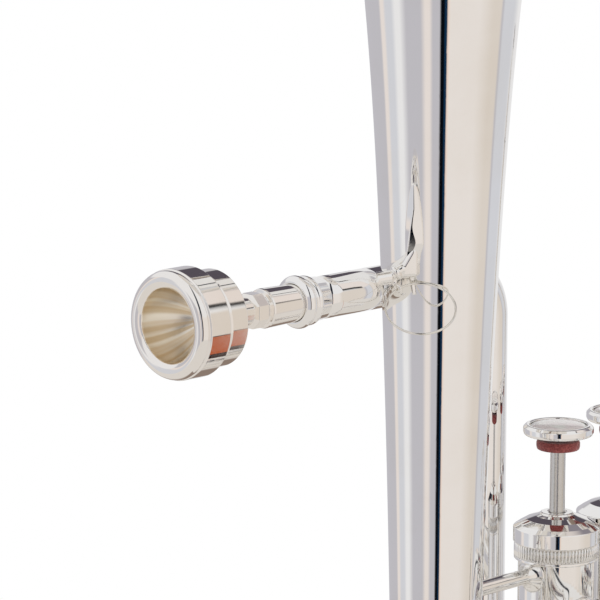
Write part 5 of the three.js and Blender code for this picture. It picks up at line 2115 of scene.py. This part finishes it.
def dress_carried_over(nodes: Dict[str, Piece], finishes: Finishes) -> None:
    """Gives the hinge pin and the valve springs, which are still shown, their finish.

    Args:
        nodes: The CAD nodes by name.
        finishes: The finishes.
    """
    for name, node in nodes.items():
        if not node.hide_render:
            node.data.materials.clear()
            node.data.materials.append(finishes.of_slot[Slot.SPRING])
            log.info("%s: kept from the CAD", name)


class Tone(Enum):
    """Colours of what stands round the horn and shows in its silver."""

    WHITE = "eae9ea"
    CARD = "e7ded9"
    COOL = "d2d3d9"
    GREY = "c0bec4"
    CREAM = "e8e1dc"
    SAND = "dcd3ca"
    PEACH = "edd8cb"
    TABLE = "dcd7d2"
    COPPER = "b25529"
    UMBER = "3c2c29"
    BARK = "8c7c72"
    LILAC = "8b868e"
    DUSK = "565059"
    SHADOW = "272a34"
    NAVY = "12304c"
    NIGHT = "080a10"


@dataclass(frozen=True)
class Panel:
    """A strip of the cove between two azimuths from the camera's side; it fades into the next."""

    start: float
    end: float
    tone: Tone


Panels = Tuple[Panel, ...]


@dataclass(frozen=True)
class Lamp:
    """A large soft lamp, aimed at the horn."""

    name: str
    azimuth: float
    elevation: float
    power: float
    size: float = 1.2
    distance: float = 1.7

    def place(self) -> None:
        """Puts the lamp in the scene; the silver does not mirror it."""
        away = aside(self.azimuth, self.elevation)
        data = bpy.data.lights.new(self.name, "AREA")
        data.shape = "DISK"
        data.size = self.size
        data.energy = self.power
        lamp = placed(self.name, data)
        lamp.location = away * self.distance
        lamp.rotation_mode = "QUATERNION"
        lamp.rotation_quaternion = (-away).to_track_quat("-Z", "Y")
        lamp.visible_glossy = False


@dataclass
class Studio:
    """Pale floor, plain soft light, the white cove with its dark camera slot, and the camera."""

    azimuth: float = -45.0
    elevation: float = 11.0
    distance: float = 1.0
    lens: float = 240.0
    sensor: float = 36.0
    aim_z: float = 327.0
    aim_left: float = 34.9
    aim_down: float = 6.3
    roll: float = 0.3
    floor_radius: float = 1.1
    floor_fade: Span = (0.35, 0.8)
    floor_drop: float = 0.0006
    lamps: Tuple[Lamp, ...] = (Lamp("key", -100.0, 50.0, 9.0), Lamp("fill", 10.0, 40.0, 5.0))
    above_rise: Span = (0.26, 0.36)
    below_fall: Span = (-0.37, -0.42)
    wall: Panels = (
        Panel(-180.0, -113.0, Tone.GREY),
        Panel(-109.0, -103.0, Tone.CARD),
        Panel(-98.0, -86.0, Tone.COOL),
        Panel(-79.0, -71.0, Tone.WHITE),
        Panel(-60.0, -36.0, Tone.GREY),
        Panel(-29.0, -22.0, Tone.CARD),
        Panel(-17.0, -6.5, Tone.GREY),
        Panel(-4.8, 0.0, Tone.NIGHT),
        Panel(2.0, 4.4, Tone.NAVY),
        Panel(5.8, 7.0, Tone.PEACH),
        Panel(9.0, 55.0, Tone.CREAM),
        Panel(80.0, 95.0, Tone.SAND),
        Panel(99.0, 100.0, Tone.GREY),
        Panel(103.0, 130.0, Tone.COOL),
        Panel(150.0, 180.0, Tone.WHITE),
    )
    above: Panels = (
        Panel(-180.0, -168.0, Tone.DUSK),
        Panel(-160.0, -12.0, Tone.WHITE),
        Panel(-7.0, 7.0, Tone.SHADOW),
        Panel(10.0, 92.5, Tone.WHITE),
        Panel(93.5, 95.5, Tone.NIGHT),
        Panel(96.5, 114.0, Tone.CARD),
        Panel(126.0, 138.0, Tone.LILAC),
        Panel(152.0, 180.0, Tone.DUSK),
    )
    below: Panels = (
        Panel(-180.0, -176.0, Tone.BARK),
        Panel(-150.0, 150.0, Tone.TABLE),
        Panel(156.0, 180.0, Tone.BARK),
    )
    batten_across: Span = (0.6695, 0.684)
    batten_rise: Span = (-0.66, -0.31)
    batten_edge: Span = (-0.71, -0.29)
    batten_side: Span = (0.73, 0.85)

    def build(self) -> None:
        """Makes the stage, the light and the camera."""
        self.floor()
        self.world()
        for lamp in self.lamps:
            lamp.place()
        self.camera()

    def floor(self) -> None:
        """A pale floor that fades out before its edge and that the silver does not mirror."""
        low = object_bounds()[0].z - self.floor_drop
        mesh = bpy.data.meshes.new("floor")
        rim = [facing(turn) * self.floor_radius + UP * low for turn in range(0, 360, 5)]
        mesh.from_pydata(rim, [], [tuple(range(len(rim)))])
        floor = placed("floor", mesh)
        material, tree, shader = blank_material("pale floor")
        noise = put(tree, "ShaderNodeTexNoise", {"Vector": here(tree)}, Scale=40.0)
        paper = colour_mix(tree, noise.outputs[0], (0.9, 0.9, 0.9), (0.93, 0.93, 0.925))
        wire(tree, paper, shader.inputs["Base Color"])
        shader.inputs["Roughness"].default_value = 0.9
        shader.inputs["Specular IOR Level"].default_value = 0.1
        far = put(tree, "ShaderNodeVectorMath", {0: here(tree)}, operation="LENGTH")
        fade = self.eased(tree, far.outputs["Value"], self.floor_fade)
        clear = tree.nodes.new("ShaderNodeBsdfTransparent")
        mix = put(tree, "ShaderNodeMixShader", {0: fade, 1: shader.outputs[0], 2: clear.outputs[0]})
        wire(tree, mix.outputs[0], tree.nodes["Material Output"].inputs["Surface"])
        mesh.materials.append(material)
        floor.visible_glossy = False
        floor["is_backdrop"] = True

    def eased(self, tree: NodeTree, value: Socket, span: Span) -> Socket:
        """A soft step from 0 to 1 while a number runs through a span."""
        links = {"Value": value, "From Min": span[0], "From Max": span[1]}
        return put(tree, "ShaderNodeMapRange", links, interpolation_type="SMOOTHSTEP").outputs[0]

    def strips(self, tree: NodeTree, share: Socket, panels: Panels) -> Socket:
        """The cove's colour by azimuth from the camera's side, -180 to 180 degrees.

        Args:
            tree: The node tree.
            share: The place round the cove, from 0 to 1.
            panels: The strips.

        Returns:
            The colour.
        """
        stops = []
        for panel in panels:
            for edge in (panel.start, panel.end):
                stops.append((0.5 + edge / 360, shade(panel.tone.value)))
        return ramped(tree, share, stops)

    def window(self, tree: NodeTree, value: Socket, span: Span) -> Socket:
        """A mask that is 1 where a number lies in a span."""
        return calc(tree, "COMPARE", value, (span[0] + span[1]) / 2, (span[1] - span[0]) / 2)

    def world(self) -> None:
        """White behind the horn, and round it the cove that its silver mirrors."""
        world = bpy.data.worlds.new("cove")
        bpy.context.scene.world = world
        world.use_nodes = True
        tree = world.node_tree
        way = tree.nodes.new("ShaderNodeTexCoord").outputs["Generated"]
        towards = facing(self.azimuth)
        parts = []
        for vector in (UP.cross(towards), towards, UP, spot(1, 0, 0)):
            links = {0: way, 1: tuple(vector)}
            dot = put(tree, "ShaderNodeVectorMath", links, operation="DOT_PRODUCT")
            parts.append(dot.outputs["Value"])
        sideways, ahead, rise, across = parts
        share = ranged(tree, calc(tree, "ARCTAN2", sideways, ahead), 0.0, 1.0, (-math.pi, math.pi))
        colour = self.strips(tree, share, self.wall)
        for panels, span in ((self.above, self.above_rise), (self.below, self.below_fall)):
            reach = self.eased(tree, rise, span)
            colour = colour_mix(tree, reach, colour, self.strips(tree, share, panels))
        post = calc(
            tree,
            "MULTIPLY",
            self.window(tree, across, self.batten_across),
            self.window(tree, share, self.batten_side),
        )
        for span, tone in ((self.batten_edge, Tone.UMBER), (self.batten_rise, Tone.COPPER)):
            batten = calc(tree, "MULTIPLY", post, self.window(tree, rise, span))
            colour = colour_mix(tree, batten, colour, shade(tone.value))
        seen = tree.nodes.new("ShaderNodeLightPath").outputs["Is Camera Ray"]
        colour = colour_mix(tree, seen, colour, (1.0, 1.0, 1.0))
        wire(tree, colour, tree.nodes["Background"].inputs["Color"])

    def camera(self) -> None:
        """The camera, at the photograph's angle and framing."""
        towards = aside(self.azimuth, self.elevation)
        right = UP.cross(towards).normalized()
        top = towards.cross(right)
        aim = to_frame(spot(0, 0, self.aim_z)) - (right * self.aim_left + top * self.aim_down) * MM
        data = bpy.data.cameras.new("camera")
        data.lens = self.lens
        data.sensor_width = self.sensor
        data.clip_start = 0.01
        camera = placed("camera", data)
        camera.location = aim + towards * self.distance
        camera.rotation_mode = "QUATERNION"
        upright = (-towards).to_track_quat("-Z", "Y")
        camera.rotation_quaternion = upright @ Quaternion((0.0, 0.0, 1.0), math.radians(self.roll))
        bpy.context.scene.camera = camera
        bpy.context.scene.view_settings.view_transform = "Standard"


def main() -> None:
    """Builds the horn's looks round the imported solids, then the studio."""
    logging.basicConfig(level=logging.INFO, format="%(name)s: %(message)s")
    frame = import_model()
    finishes = Finishes()
    shop = Workshop(finishes, KnurlTree(finishes.silver))
    bell, valves = BellAndBow(shop), ValveBlock(shop)
    pipe, slides = Leadpipe(shop, bell, valves), Slides(shop, bell, valves)
    for assembly in (bell, pipe, valves, slides, Fittings(shop, bell, pipe, valves, slides)):
        assembly.build()
    dress_carried_over(frame["nodes"], finishes)
    Studio().build()
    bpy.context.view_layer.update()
    log.info("%d pieces made", shop.count)


if __name__ == "__main__":
    main()
